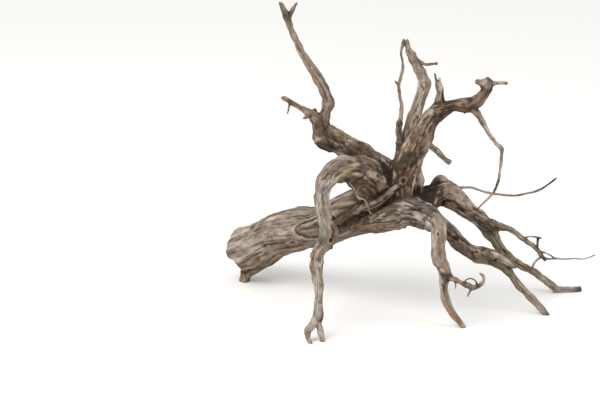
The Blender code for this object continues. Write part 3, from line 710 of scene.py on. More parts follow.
# How weather has worked the surface, all in mm. A scale is round the root, along the grain
relief = {
    "wander": (3.6, 24.0, 70.0),  # how far the grain wanders, and over what scale
    "muscles": (0.06, 17.0, 120.0),  # of the radius: broad ridges along the grain
    "ridges": (1.2, 7.5, 42.0),
    "fibres": (0.65, 3.6, 15.0),
    "lumps": (1.1, 13.0),
    "knobs": (0.05, 1.5),  # of the root's usual radius: how far it bulges, and over what scale
    "cracks": (2.2, 6.5, 80.0),  # deep fissures along the grain
    "crackWidth": 0.17,
    "crackShare": 0.22,  # a higher number leaves more of the surface whole
    "fullRadius": 17.0,  # a root this thick has the full relief, a thinner one less
    "thinning": 0.65,
    "seamShare": 0.6,  # what is left of it where roots meet
}

# Marks that stand on one root where the eye sees them: the root, across and up the sheet, half the
# length along the grain, half the width, and the height or depth
marks = {
    "hole": (
        ("hoop", -165, 203, 5.5, 4.5, 5.0),
        ("upper_root", -20, 322, 6, 5.5, 4.0),
        ("prop", 84, 208, 9, 5, 2.4),
        ("prop", 128, 180, 5, 3.5, 2.2),
        ("stem", -240, 200, 10, 3, 2.5),
        ("back_root", -143, 388, 4.5, 3.4, 1.6),
        ("right_root", 96, 262, 16, 3.4, 2.6),
        ("front_root", 50, 214, 5, 3, 1.8),
        ("tall_root", 10, 448, 6, 2.6, 1.8),
    ),
    "knot": (
        ("upper_root", -20, 322, 12, 10.5, 3.2),
        ("back_root", -132, 396, 6, 5, 2.2),
        ("back_root", -153, 393, 6.5, 5.5, 2.4),
        ("back_root", -92, 366, 5, 4, 1.6),
        ("burl", -50, 288, 6, 5, 2.2),
        ("front_burl", -30, 258, 6, 5, 2.0),
        ("hoop", -199, 293, 5, 4, 3.0),
        ("hoop", -202, 174, 7, 5, 3.0),
        ("hoop", -176, 160, 5, 3.5, 1.6),
        ("hoop", -186, 112, 4, 3, 1.2),
        ("stem", -282, 214, 8, 6, 2.0),
        ("peg", 34, 394, 7, 5, 2.0),
        ("peg", 50, 382, 6, 5, 1.6),
        ("prop", 118, 188, 10, 7, 2.6),
        ("prop", 146, 178, 9, 7, 2.4),
        ("prop", 84, 212, 12, 8, 2.0),
        ("upper_root", 12, 404, 7, 5, 1.8),
        ("upper_root", 66, 464, 6, 5, 2.0),
        ("upper_root", 110, 470, 6, 5, 2.0),
        ("right_root", 74, 288, 12, 7, 1.6),
        ("right_root", 128, 246, 7, 5, 1.6),
        ("runner", 196, 166, 6, 4, 1.6),
        ("tall_root", 22, 512, 6, 5, 1.6),
        ("back_fork", -172, 476, 6, 5, 1.6),
        ("back_fork", -208, 556, 4, 3.5, 1.2),
    ),
    "scar": (("stem", -193, 231, 58, 21.5, 3.6),),
    "crease": (
        ("stem", -296, 192, 40, 1.8, 2.0),
        ("stem", -246, 188, 50, 1.6, 2.0),
        ("stem_lip", -330, 148, 22, 2.6, 4.0),
        ("stem", -214, 254, 40, 2.2, 2.4),
        ("stem", -128, 268, 30, 2.2, 2.6),
        ("stem", -112, 250, 30, 2.6, 3.4),
        ("stem", -142, 232, 26, 2.2, 2.6),
        ("front_burl", -78, 238, 18, 2.4, 3.0),
        ("front_burl", -64, 252, 22, 2.0, 2.4),
        ("front_burl", -50, 240, 24, 2.0, 2.2),
        ("front_burl", -36, 262, 22, 2.0, 2.4),
        ("front_burl", 0, 268, 26, 2.0, 2.4),
        ("front_burl", -14, 256, 24, 1.8, 2.0),
        ("hoop", -114, 342, 13, 3.0, 3.4),
        ("hoop", -181, 292, 24, 2.0, 2.2),
        ("hoop", -172, 304, 20, 1.7, 2.0),
        ("hoop", -188, 262, 28, 1.8, 2.0),
        ("hoop", -176, 330, 12, 2.6, 2.4),
        ("hoop", -110, 328, 14, 2.2, 2.4),
        ("hoop", -132, 362, 14, 1.8, 1.8),
        ("hoop", -150, 348, 20, 1.8, 2.0),
        ("hoop", -160, 338, 22, 1.6, 2.0),
        ("hoop", -152, 332, 20, 1.8, 2.0),
        ("hoop", -191, 118, 40, 1.6, 1.8),
        ("hoop_knot", -170, 222, 18, 1.8, 2.6),
        ("hoop_knot", -163, 226, 12, 1.4, 1.8),
        ("hoop_knot", -157, 218, 14, 1.4, 1.8),
        ("burl", -84, 326, 26, 2.4, 3.2),
        ("burl", -92, 352, 22, 2.0, 2.4),
        ("burl", -72, 300, 18, 2.4, 3.0),
        ("upper_root", -14, 352, 34, 2.8, 3.4),
        ("upper_root", 2, 388, 36, 2.4, 2.8),
        ("upper_root", 28, 434, 34, 2.2, 2.4),
        ("upper_root", 78, 470, 26, 2.0, 2.2),
        ("back_root", -84, 356, 40, 2.4, 2.8),
        ("back_root", -112, 388, 32, 2.0, 2.4),
        ("back_root", -150, 402, 22, 2.2, 2.4),
        ("front_burl", -10, 244, 40, 2.6, 3.0),
        ("front_burl", 14, 232, 34, 2.2, 2.8),
        ("front_burl", -34, 232, 40, 2.4, 2.6),
        ("front_burl", 20, 260, 34, 2.2, 2.8),
        ("front_root", 40, 236, 30, 2.2, 2.6),
        ("front_root", 60, 120, 40, 2.4, 2.6),
        ("prop", 62, 224, 34, 2.4, 2.6),
        ("prop", 110, 196, 26, 2.0, 2.2),
        ("prop", 216, 106, 30, 1.6, 1.6),
        ("right_root", 62, 286, 24, 2.0, 1.4),
        ("right_root", 112, 250, 42, 2.2, 2.6),
        ("right_root", 80, 280, 34, 2.2, 2.6),
        ("runner", 172, 196, 40, 2.0, 2.2),
        ("runner", 220, 150, 34, 1.8, 1.8),
        ("tall_root", -2, 424, 40, 2.0, 2.4),
        ("tall_root", 14, 486, 40, 1.8, 2.0),
        ("back_fork", -178, 500, 40, 1.8, 2.0),
        ("back_fork", -222, 574, 44, 1.4, 1.4),
        ("peg", 40, 388, 12, 1.6, 1.6),
        ("peg", 56, 372, 14, 1.4, 1.5),
        ("peg", 66, 368, 10, 1.2, 1.2),
    ),
}
markWords = {
    # the grain flows round a knot as if pushed out by this share, and how far away that ends
    "knot": {"push": 0.8, "reach": 1.5},
    "hole": {"push": 0.5, "reach": 1.6},
    "scar": {"push": 0.0, "reach": 1.3},
    "crease": {"push": 0.0, "reach": 1.0},
}
strayKnots = {"every": 5200.0, "halfLong": (3.0, 8.0), "height": (0.8, 2.2), "thinnest": 6.0}
# How cracked a root is, how much shorter its streaks are, how much closer they lie, and how much
# more its grain wanders
cracked = {
    "other": 0.8, "stem": 0.4, "hoop": 0.45, "burl": 0.7, "back_root": 1.0, "upper_root": 0.7,
    "front_burl": 0.9, "front_root": 0.55, "right_root": 1.0, "prop": 0.9, "strap": 0.4, "hoop_knot": 0.9,
    "rootlet": 0.0, "tall_root": 0.3, "back_fork": 0.25,
}
stubby = {"burl": 2.0, "front_burl": 1.3, "stem": 0.75, "upper_root": 1.35, "back_root": 1.5, "right_peak": 2.0}
closer = {"stem": 1.4, "hoop": 1.15, "back_fork": 1.15, "upper_root": 1.2, "back_root": 1.2}
curly = {"stem": 0.7, "front_burl": 2.2, "burl": 2.2, "upper_root": 1.5, "back_root": 1.3, "right_root": 1.3, "strap": 0.5}


# Where each point is in the wood: two distances round the root's heart and one along its grain
def grainPlaces():
    shift = rootOf * 37.0
    x, y = radius * np.cos(angle), radius * np.sin(angle)
    shorter = np.array([stubby.get(name, 1.0) for name in roots])[rootOf]
    finer = np.array([closer.get(name, 1.0) for name in roots])[rootOf]
    places = np.column_stack([x * finer + shift, y * finer - shift, along * shorter + 3 * shift])
    size, across, lengthwise = relief["wander"]
    size = size * np.array([curly.get(name, 1.0) for name in roots])[rootOf]
    scale = np.array([across, across, lengthwise])
    return places + np.column_stack([noise(places / scale, seed) * size for seed in (1, 2, 3)])


def grainNoise(places, across, lengthwise, seed):
    return noise(places / np.array([across, across, lengthwise]), seed)


# Long cracks run where the first number is nought, and are as open as the second one says
def crackField(places, across, lengthwise, width, share, seed):
    line = grainNoise(places, across, lengthwise, seed) / width
    return line, smoothstep(share - 0.1, share + 0.4, grainNoise(places, 3.2 * across, 0.8 * lengthwise, seed + 1))


# The point of a root that the eye sees at a place of the sheet
def seenPlace(number, across, up):
    own = np.nonzero((rootOf == number) & (facing > 0.1))[0]
    if not len(own):
        own = np.nonzero(rootOf == number)[0]
    off = np.hypot(sheetPlace[own, 0] - across, sheetPlace[own, 1] - up) + 0.02 * sheetPlace[own, 2]
    return own[off.argmin()]


# Points about a mark: which they are, and how far along and across it they lie, in half lengths
# and half widths
def aboutMark(spot, halfLong, halfWide, reach):
    off = verts - verts[spot]
    near = np.nonzero(np.linalg.norm(off, axis=1) < reach * max(halfLong, halfWide))[0]
    near = near[normals[near] @ normals[spot] > -0.2]
    sideways = unit(np.cross(normals[near], grainward[near]))
    lengthwise = np.cross(sideways, normals[near])
    return near, (off[near] * lengthwise).sum(axis=1) / halfLong, (off[near] * sideways).sum(axis=1) / halfWide


# How far outside an oval a point lies, in mm
def edgeGap(long, wide, halfLong, halfWide):
    rho = np.hypot(long, wide)
    slope = np.hypot(long / halfLong, wide / halfWide)
    return (rho - 1) * rho / np.maximum(slope, 1e-6)


def markShape(kind, long, wide, halfLong, halfWide, height, noisy):
    rho = np.hypot(long, wide)
    if kind == "knot":
        rho = rho * (1 + 0.14 * noisy)
        crown = height * (1 - smoothstep(0.55, 1.05, rho)) * (1 - 0.45 * np.exp(-((rho / 0.35) ** 2)))
        ring = -0.35 * height * np.exp(-(((rho - 1.12) / 0.14) ** 2))
        darker = (0.45 - 0.2 * noisy) * np.exp(-(((rho - 1.1) / 0.2) ** 2)) + 0.3 * np.exp(-((rho / 0.3) ** 2))
        return crown + ring, darker, 0.25 * (1 - smoothstep(0.5, 0.95, rho))
    if kind == "hole":
        pit = -height * (1 - smoothstep(0.35, 0.95, rho + 0.15 * noisy))
        rim = 0.3 * height * np.exp(-(((rho - 1.15) / 0.2) ** 2))
        return pit + rim, 1 - smoothstep(0.45, 1.05, rho), 0.9 * np.exp(-(((rho - 1.25) / 0.2) ** 2))
    # The mark of a lost branch: a groove round a sunken face with a dark band across it
    toEdge = edgeGap(long, wide, halfLong, halfWide) + 1.2 * noisy
    inside = 1 - smoothstep(-3.0, -0.5, toEdge)
    groove = np.exp(-((toEdge / 2.2) ** 2))
    lip = np.exp(-(((toEdge - 4.0) / 2.4) ** 2)) + 0.8 * inside * np.exp(-(((wide - 0.62) / 0.16) ** 2))
    band = inside * np.exp(-(((wide - 0.12 + 0.1 * noisy) / 0.27) ** 4)) * smoothstep(-1.0, -0.75, long)
    shape = height * (0.45 * lip - 0.75 * groove - 0.35 * inside - 0.4 * band)
    below = inside * (0.25 + 0.2 * np.sin(9 * wide + 2 * noisy)) * (1 - band)
    return shape, np.maximum(0.85 * groove, np.maximum(0.95 * band, 0.4 * below)), 0.9 * lip


normals = normalsOf(verts, faces)
sheetPlace = onSheet(verts)
lean = sheet["lean"]
eye = overGround([(sheet["eyeAcross"], sheet["eyeUp"], 0.0, 1.0)])[0, :3]
eye = eye + sheet["eyeDistance"] * np.array([0.0, -math.cos(lean), math.sin(lean)])
facing = (normals * unit(eye - verts)).sum(axis=1)
usual = np.array([float(np.median(tube["centreRadius"])) for tube in tubes])[rootOf]
strength = np.clip(radius / relief["fullRadius"], 0.0, 1.0) ** relief["thinning"]
calm = (relief["seamShare"] + (1 - relief["seamShare"]) * smoothstep(0.0, 3.0, seamGap)) * strength
calm = calm * smoothstep(0.1, 2.5, verts[:, 2]) * np.where(isEnd > 0, 0.35, 1.0)
grain = grainPlaces()
rootNumbers = {name: number for number, name in enumerate(roots)}
crackedness = np.array([cracked.get(name, cracked["other"]) for name in roots])[rootOf]

# The marks of the list, then more knots and holes on what the eye doesn't see
markPlaces = [
    (kind, seenPlace(rootNumbers[root], across, up), halfLong, halfWide, tall)
    for kind in marks for root, across, up, halfLong, halfWide, tall in marks[kind]
]
draw = random.Random(5)
strayCount = 0
for number, tube in enumerate(tubes):
    thick = float(np.median(tube["centreRadius"]))
    own = np.nonzero((rootOf == number) & (isEnd == 0) & (seamGap > 6) & (verts[:, 2] > 12))[0]
    if thick < strayKnots["thinnest"] or len(own) < 50:
        continue
    area = math.tau * thick * tube["along"].max()
    for _ in range(max(1, round(area / strayKnots["every"]))):
        spot = own[draw.randrange(len(own))]
        halfLong = draw.uniform(*strayKnots["halfLong"]) * min(1.0, thick / 14)
        tall = draw.uniform(*strayKnots["height"]) * min(1.0, thick / 14)
        kind, slim = draw.choice(("knot", "knot", "hole")), draw.uniform(0.6, 0.9)
        if facing[spot] < 0.15:
            markPlaces.append((kind, spot, halfLong, halfLong * slim, tall))
            strayCount += 1

height = np.zeros(len(verts))
dark = np.zeros(len(verts))
paleAndHighlight = np.zeros(len(verts))
creaseLine = np.full(len(verts), 9.0)
creaseOpen = np.zeros(len(verts))
creaseDepth = np.zeros(len(verts))
wiggle = noise(verts / 7.0, 31)
for kind, spot, halfLong, halfWide, tall in markPlaces:
    reach = markWords[kind]["reach"]
    spread, long, wide = aboutMark(spot, halfLong, halfWide, reach * 1.6)
    if kind == "crease":
        bend = wide + 0.9 * wiggle[spread]
        taper = 1 - smoothstep(0.55, 1.0, np.abs(long))
        nearer = (np.abs(bend) < np.abs(creaseLine[spread])) & (taper > 0)
        spread, bend, taper = spread[nearer], bend[nearer], taper[nearer]
        creaseLine[spread] = bend
        creaseOpen[spread] = taper * (1 - smoothstep(2.0, 4.0, np.abs(bend)))
        creaseDepth[spread] = tall * taper * np.exp(-(bend**2))
        continue
    if kind == "scar":
        toEdge = edgeGap(long, wide, halfLong, halfWide) + 1.2 * wiggle[spread]
        creaseLine[spread] = toEdge / 2.0
        creaseOpen[spread] = 1 - smoothstep(2.0, 4.0, np.abs(toEdge / 2.0))
    shape, darker, paler = markShape(kind, long, wide, halfLong, halfWide, tall, wiggle[spread])
    height[spread] += shape
    dark[spread] = np.maximum(dark[spread], darker)
    paleAndHighlight[spread] = np.maximum(paleAndHighlight[spread], paler)
    push = markWords[kind]["push"] * np.exp(-((np.hypot(long, wide) / reach) ** 2))
    turned = np.column_stack([-np.sin(angle[spread]), np.cos(angle[spread])])
    grain[spread, :2] -= turned * (push * wide * halfWide)[:, None]
print("marks set:", len(markPlaces), "of them strays:", strayCount)

muscles = grainNoise(grain, *relief["muscles"][1:], 40)
ridges = grainNoise(grain, *relief["ridges"][1:], 41)
fibres = grainNoise(grain, *relief["fibres"][1:], 42)
lumps = noise(verts / relief["lumps"][1], 43)
knobSize = np.maximum(relief["knobs"][1] * usual, 3.0)[:, None]
knobs = noise(grain / knobSize, 44) + 0.5 * noise(grain / knobSize * 2.1, 45)
crackLine, crackOpen = crackField(grain, *relief["cracks"][1:], relief["crackWidth"], relief["crackShare"], 50)
crackOpen = np.clip(crackOpen * crackedness * smoothstep(4.0, 6.0, np.abs(creaseLine)), 0.0, 1.0)
crackOpen = crackOpen * np.minimum(2 * calm, 1)
inCrease = np.abs(creaseLine) < 4
cracks = crackOpen * np.exp(-(crackLine**2))
crackLine = np.where(inCrease, creaseLine, crackLine)
crackOpen = np.where(inCrease, creaseOpen, crackOpen)
worked = (
    relief["muscles"][0] * np.minimum(radius, 30.0) * muscles
    + relief["ridges"][0] * ridges
    + relief["fibres"][0] * fibres
    + relief["lumps"][0] * lumps
)
bulging = relief["knobs"][0] * np.minimum(usual, 20.0) * knobs * smoothstep(0.0, 6.0, seamGap)
offGround = smoothstep(0.1, 2.5, verts[:, 2])
height = (height - creaseDepth - relief["cracks"][0] * cracks + bulging) * offGround + worked * calm
verts = verts + normals * height[:, None]
verts[:, 2] = np.maximum(verts[:, 2], 0.0)
print("surface worked, from", round(height.min(), 1), "to", round(height.max(), 1), "mm")


# The wood of each root, from 0 to 1: how light, how silvered, how straw-coloured, how red and how
# sooty it is
woods = {
    "stem": (0.39, 0.48, 0.06, 0.08, 0.05),
    "stem_lip": (0.44, 0.10, 0.20, 0.15, 0.15),
    "burl": (0.41, 0.06, 0.40, 0.22, 0.22),
    "hoop": (0.44, 0.30, 0.20, 0.06, 0.03),
    "hoop_left_toe": (0.56, 0.45, 0.12, 0.06, 0.05),
    "hoop_right_toe": (0.54, 0.45, 0.12, 0.08, 0.05),
    "hoop_knot": (0.48, 0.15, 0.15, 0.40, 0.10),
    "back_root": (0.31, 0.30, 0.14, 0.06, 0.26),
    "back_neck": (0.38, 0.12, 0.22, 0.18, 0.10),
    "back_stub": (0.38, 0.08, 0.30, 0.20, 0.04),
    "back_fork": (0.35, 0.22, 0.20, 0.10, 0.08),
    "whip": (0.43, 0.12, 0.16, 0.10, 0.22),
    "tall_root": (0.53, 0.15, 0.30, 0.12, 0.08),
    "upper_root": (0.36, 0.12, 0.18, 0.25, 0.24),
    "upper_spike": (0.44, 0.10, 0.20, 0.25, 0.15),
    "upper_stub_left": (0.48, 0.15, 0.20, 0.12, 0.05),
    "tall_twig": (0.36, 0.30, 0.05, 0.05, 0.36),
    "hanging_twig": (0.43, 0.20, 0.14, 0.12, 0.12),
    "peg": (0.66, 0.05, 0.45, 0.28, 0.05),
    "right_root": (0.46, 0.20, 0.22, 0.14, 0.10),
    "fingers": (0.50, 0.15, 0.24, 0.12, 0.12),
    "runner": (0.29, 0.22, 0.12, 0.12, 0.20),
    "feeler": (0.62, 0.10, 0.10, 0.16, 0.25),
    "prop": (0.42, 0.25, 0.16, 0.14, 0.15),
    "prop_ledge": (0.42, 0.05, 0.40, 0.30, 0.05),
    "front_burl": (0.57, 0.36, 0.16, 0.16, 0.12),
    "front_root": (0.56, 0.50, 0.14, 0.08, 0.04),
    "hook": (0.40, 0.20, 0.18, 0.15, 0.12),
    "hook_arc": (0.14, 0.15, 0.05, 0.05, 0.80),
    "strap": (0.43, 0.00, 0.50, 0.45, 0.20),
    "strap_fibre": (0.52, 0.05, 0.40, 0.20, 0.00),
    "rootlet": (0.78, 0.05, 0.35, 0.12, 0.00),
    "rib": (0.58, 0.05, 0.40, 0.45, 0.00),
    "rib_edge": (0.72, 0.05, 0.35, 0.25, 0.00),
}
# A small root has the wood of the one that it grows from
woodFrom = {
    "back_stub_peak": "back_stub", "back_thorn": "back_stub", "back_knob": "back_root",
    "back_fork_left": "back_fork", "back_fork_right": "back_fork", "whip_thorn": "whip",
    "upper_nub": "upper_root", "upper_stub_top": "upper_stub_left", "upper_stub_right": "upper_stub_left",
    "right_peak": "right_root", "upper_spike_tip": "upper_spike",
    "finger_upright": "feeler", "finger_loop": "feeler", "finger_whisker": "fingers",
    "finger_side": "fingers", "finger_down": "feeler",
    "hook_twig": "feeler", "hook_thorn": "feeler", "hoop_nub": "hoop_knot", "rootlet_spur": "rootlet",
}
woodKinds = ("light", "ash", "sand", "rust", "sootAndShade")

# Stains that the eye sees, with shadow painted into the hollows of the hub and highlights painted on lit edges: the
# root, across and up the sheet, half the length along the grain, half the width, and how much
stains = {
    # Painted shadow in the hollows of the hub, and dark holes, slits and tips
    "shadowAndDarkMarks": (
        ("back_root", -64, 350, 16, 18, 0.8), ("burl", -54, 336, 7, 14, 0.9), ("upper_root", -42, 338, 22, 6, 0.9),
        ("tall_root", -42, 338, 22, 10, 1.0), ("right_root", 26, 298, 22, 20, 0.9), ("right_peak", 26, 302, 22, 12, 0.8), ("right_peak", 46, 316, 12, 12, 0.7),
        ("right_root", 42, 298, 9, 24, 0.7), ("prop", 22, 278, 26, 12, 0.6), ("hoop", -138, 324, 10, 6, 0.5),
        ("hoop", -165, 203, 6, 5, 1.0), ("burl", -44, 330, 8, 12, 1.0), ("right_root", 34, 296, 20, 22, 0.9), ("right_root", 24, 284, 20, 20, 0.9), ("feeler", 277, 323, 16, 5, 0.8),
        ("hoop", -114, 342, 12, 2.6, 0.9), ("upper_stub_right", 186, 517, 4, 4, 0.9), ("upper_stub_right", 171, 517, 4, 3, 0.8),
        ("peg", 52, 374, 16, 1.8, 0.5), ("peg", 76, 358, 3, 5, 0.8), ("stem", -150, 222, 14, 10, 0.5), ("prop", 84, 208, 8, 6, 0.5),
        ("upper_root", -30, 350, 22, 14, 0.6), ("upper_root", -18, 366, 22, 12, 0.35),
        ("front_burl", -44, 266, 20, 7, 0.4), ("burl", -52, 322, 8, 12, 0.6), ("right_root", 44, 302, 16, 12, 0.4),
    ),
    "sand": (
        ("burl", -50, 304, 14, 9, 0.9),
        ("hoop", -104, 333, 20, 3.5, 0.8), ("hoop", -178, 282, 14, 6, 0.6),
        ("stem", -238, 210, 18, 6, 0.5), ("hoop", -117, 356, 13, 9, 1.0), ("burl", -62, 312, 12, 14, 0.4), ("upper_root", -14, 330, 14, 8, 0.4),
        ("front_root", 44, 226, 18, 9, 0.5), ("prop", 188, 148, 12, 8, 0.5), ("tall_root", 10, 520, 30, 8, 0.5),
        ("back_root", -128, 396, 8, 6, 0.6), ("right_root", 62, 306, 30, 8, 0.6),
    ),
    "rust": (
        ("front_root", 92, 43, 10, 7, 0.9), ("front_root", 84, 52, 12, 6, 0.5),
        ("front_burl", -60, 226, 46, 12, 0.8), ("front_burl", -20, 230, 30, 10, 0.7), ("hoop", -162, 232, 16, 7, 0.7),
        ("upper_root", 4, 400, 22, 14, 0.35), ("upper_root", -4, 330, 16, 8, 0.5), ("upper_root", 12, 350, 40, 7, 0.5), ("burl", -94, 312, 24, 12, 0.6),
        ("hoop", -166, 212, 18, 6, 0.6), ("upper_root", -8, 326, 14, 10, 0.7),
        ("prop", 84, 210, 16, 9, 0.6), ("back_stub", -188, 446, 14, 8, 0.6), ("stem", -128, 232, 26, 10, 0.5),
        ("strap", -84, 276, 40, 6, 0.5), ("upper_root", 40, 440, 22, 9, 0.25),
    ),
    # Soot, with painted shadow in the hollow between the stem, the burl and the right root
    "sootAndShade": (
        ("feeler", 268, 314, 26, 6, 0.7), ("whip", -32, 412, 50, 8, 0.55), ("upper_root", 66, 480, 30, 7, 0.9), ("back_root", -148, 396, 24, 14, 0.5),
        ("front_burl", -54, 264, 22, 11, 0.4),
        ("stem", -104, 256, 26, 7, 0.8), ("stem", -134, 238, 22, 6, 0.8), ("front_burl", -92, 242, 14, 10, 0.7),
        ("burl", -48, 322, 16, 9, 1.0), ("burl", -58, 336, 18, 8, 0.8), ("upper_root", -42, 332, 22, 9, 1.0),
        ("upper_root", -32, 350, 24, 9, 0.7), ("back_root", -48, 338, 22, 16, 1.0), ("right_root", 40, 300, 18, 12, 0.9),
        ("right_root", 26, 296, 20, 14, 0.9), ("peg", 58, 374, 8, 3, 0.4),
        ("burl", -70, 346, 22, 14, 0.5), ("right_root", 24, 296, 20, 18, 1.0), ("right_peak", 24, 300, 22, 14, 1.0),
        ("back_root", -62, 348, 20, 20, 1.0), ("prop", 24, 270, 30, 16, 0.8), ("hoop", -136, 326, 10, 8, 0.6),
        ("burl", -54, 334, 8, 12, 1.0), ("upper_root", -40, 336, 26, 8, 1.0), ("tall_root", -40, 340, 30, 12, 1.0), ("burl", -88, 300, 22, 16, 0.4),
        ("burl", -58, 286, 24, 14, 0.7), ("upper_root", -22, 356, 26, 12, 0.85), ("upper_root", 0, 372, 24, 10, 0.6),
        ("back_root", -132, 392, 40, 14, 0.6), ("back_root", -60, 344, 40, 16, 0.6), ("back_root", -96, 366, 40, 12, 0.4),
        ("right_root", 30, 286, 30, 24, 0.95), ("right_root", 36, 298, 12, 26, 1.0), ("right_root", 48, 296, 14, 20, 0.8),
        ("front_burl", -8, 262, 30, 14, 0.2), ("front_burl", -36, 250, 34, 16, 0.5), ("prop", 60, 222, 34, 12, 0.5),
        ("prop", 84, 208, 9, 8, 0.9), ("stem", -150, 250, 60, 16, 0.35), ("upper_root", 60, 462, 30, 8, 0.2),
        ("right_root", 144, 230, 22, 14, 0.25), ("front_root", 64, 120, 40, 5, 0.6), ("hoop", -190, 90, 22, 3, 0.4),
    ),
    "ash": (
        ("stem", -206, 232, 26, 12, 0.5), ("stem", -266, 240, 40, 10, 0.5),
        # The pale strip on the front root's left edge is partly a painted highlight
        ("front_root", 34, 208, 30, 6, 0.9), ("front_root", 46, 180, 26, 6, 0.6), ("front_burl", 6, 236, 40, 12, 0.55),
        ("front_burl", -20, 250, 40, 10, 0.45), ("stem", -300, 190, 34, 20, 0.5), ("stem", -270, 236, 30, 12, 0.5),
        ("stem", -196, 240, 40, 12, 0.6), ("hoop", -180, 226, 34, 8, 0.5), ("hoop", -192, 60, 40, 9, 0.7),
    ),
    "shade": (
        ("burl", -44, 318, 8, 8, 0.6), ("fingers", 168, 236, 16, 6, 0.7), ("upper_root", 20, 426, 20, 8, 0.7),
        ("back_root", -142, 420, 34, 9, 0.9), ("back_root", -142, 384, 18, 12, 0.8), ("upper_root", 70, 478, 36, 10, 1.0),
        ("upper_root", 40, 424, 30, 8, 0.9), ("right_root", 78, 278, 44, 8, 0.9), ("upper_root", -10, 312, 12, 12, 0.4),
        ("upper_root", -20, 350, 46, 22, 0.7), ("front_burl", -44, 264, 30, 10, 0.7), ("hoop", -136, 324, 14, 8, 0.7), ("stem", -376, 184, 40, 14, 0.6),
        ("stem", -316, 214, 24, 7, 0.6),
        ("burl", -86, 338, 14, 12, 0.6), ("upper_root", -30, 372, 30, 10, 1.0), ("whip", -31, 410, 44, 9, 0.5),
        ("hoop", -184, 318, 24, 7, 0.5), ("upper_root", 26, 420, 40, 9, 0.5),
        ("hoop", -176, 204, 22, 14, 0.9), ("upper_root", -28, 358, 40, 12, 1.0), ("upper_root", -6, 340, 26, 9, 0.7),
        ("hoop", -136, 330, 14, 10, 0.8), ("hoop", -114, 342, 12, 3.2, 1.0), ("burl", -92, 312, 26, 12, 0.5),
        ("back_root", -76, 362, 26, 14, 1.0), ("burl", -82, 362, 14, 8, 0.7), ("front_burl", -30, 266, 26, 10, 0.5),
        ("hoop", -152, 344, 28, 14, 0.6), ("back_root", -74, 370, 26, 12, 0.4), ("upper_root", -26, 384, 60, 10, 0.6),
        ("upper_root", -30, 352, 24, 12, 0.6), ("stem", 20, 294, 18, 16, 0.5), ("right_root", 44, 304, 16, 12, 0.7),
        ("front_burl", -54, 262, 26, 13, 1.0), ("stem", -184, 204, 24, 14, 0.6), ("stem", -142, 228, 20, 12, 0.5),
        ("upper_spike", 52, 508, 24, 6, 0.6), ("upper_root", 84, 478, 22, 8, 0.4), ("upper_root", 130, 490, 16, 6, 0.5),
        ("hanging_twig", 138, 430, 40, 5, 0.6), ("front_root", 92, 44, 16, 5, 0.8), ("hoop_left_toe", -210, 12, 14, 6, 0.8),
        ("fingers", 168, 236, 14, 5, 0.6), ("runner", 236, 144, 50, 7, 0.5), ("feeler", 270, 316, 30, 6, 1.0),
        ("hook", 90, 122, 20, 6, 0.6), ("hook", 124, 110, 20, 6, 0.6), ("stem", -220, 238, 22, 8, 0.4),
        ("upper_root", 26, 458, 16, 8, 0.5), ("upper_root", 138, 496, 14, 8, 0.5), ("back_fork", -246, 620, 34, 7, 0.5),
        ("back_fork", -196, 534, 20, 7, 0.4), ("right_root", 64, 294, 28, 10, 0.7), ("front_root", 58, 152, 12, 9, 0.5),
        ("back_root", -142, 402, 28, 12, 0.5), ("stem", -146, 286, 34, 9, 0.5), ("back_stub", -216, 464, 16, 6, 0.7),
        ("runner", 172, 178, 24, 8, 0.5), ("tall_root", 10, 540, 34, 8, 0.4),
        ("front_burl", -48, 268, 22, 8, 0.8), ("front_burl", -18, 262, 20, 7, 0.5), ("back_root", -158, 420, 20, 10, 0.4),
        ("upper_root", -28, 352, 24, 14, 0.8),
    ),
    # Pale wood, with highlights painted on the right root's top edge and the front root's left edge
    "paleAndHighlight": (
        ("back_root", -176, 390, 14, 8, 0.35), ("back_root", -92, 396, 36, 8, 0.9),
        ("upper_spike", 54, 514, 20, 6, 0.9), ("right_root", 124, 228, 24, 7, 0.7),
        ("front_burl", 6, 252, 22, 9, 0.8), ("front_root", 38, 232, 12, 7, 0.6), ("hanging_twig", 150, 288, 60, 5, 1.0), ("upper_root", 30, 396, 22, 6, 0.6), ("front_root", 24, 234, 16, 8, 0.7), ("hoop", -188, 264, 30, 7, 0.7),
        ("stem", -286, 244, 20, 10, 0.8), ("stem", -346, 220, 28, 12, 0.9), ("hanging_twig", 160, 400, 30, 4, 0.3),
        ("front_root", 30, 232, 16, 9, 0.8), ("back_root", -132, 396, 5, 4, 0.8),
        ("back_root", -153, 394, 5, 4, 0.7), ("prop", 180, 158, 14, 7, 0.7), ("right_root", 62, 308, 34, 4, 0.6),
        ("upper_root", 12, 350, 44, 7, 1.0), ("upper_root", -10, 300, 16, 8, 0.7), ("front_burl", -16, 276, 16, 8, 0.6),
        ("right_peak", 68, 316, 26, 8, 0.7), ("right_root", 84, 304, 26, 10, 0.5), ("hoop", -104, 333, 20, 3.5, 0.7),
        ("stem", -266, 212, 34, 8, 0.6), ("front_root", 42, 206, 30, 8, 0.6), ("upper_root", 98, 480, 12, 7, 0.5),
        ("hoop", -166, 316, 30, 5, 0.9), ("stem", -318, 196, 14, 30, 0.7),
        ("hoop", -190, 112, 44, 9, 0.8), ("hoop", -192, 50, 30, 8, 0.9), ("hoop", -117, 356, 11, 8, 0.7),
        ("front_root", 34, 236, 26, 9, 0.5), ("front_root", 44, 212, 22, 8, 0.6), ("stem", -311, 200, 34, 12, 0.5),
        ("rib", 12, 346, 30, 8, 0.6), ("stem", -14, 284, 12, 22, 0.5), ("right_root", 120, 282, 30, 9, 1.0), ("right_root", 96, 302, 26, 8, 1.0),
        ("right_root", 130, 226, 22, 9, 0.5), ("prop", 150, 176, 20, 9, 0.6), ("tall_root", 8, 464, 30, 7, 0.6),
        ("tall_root", -16, 424, 22, 5, 0.6), 
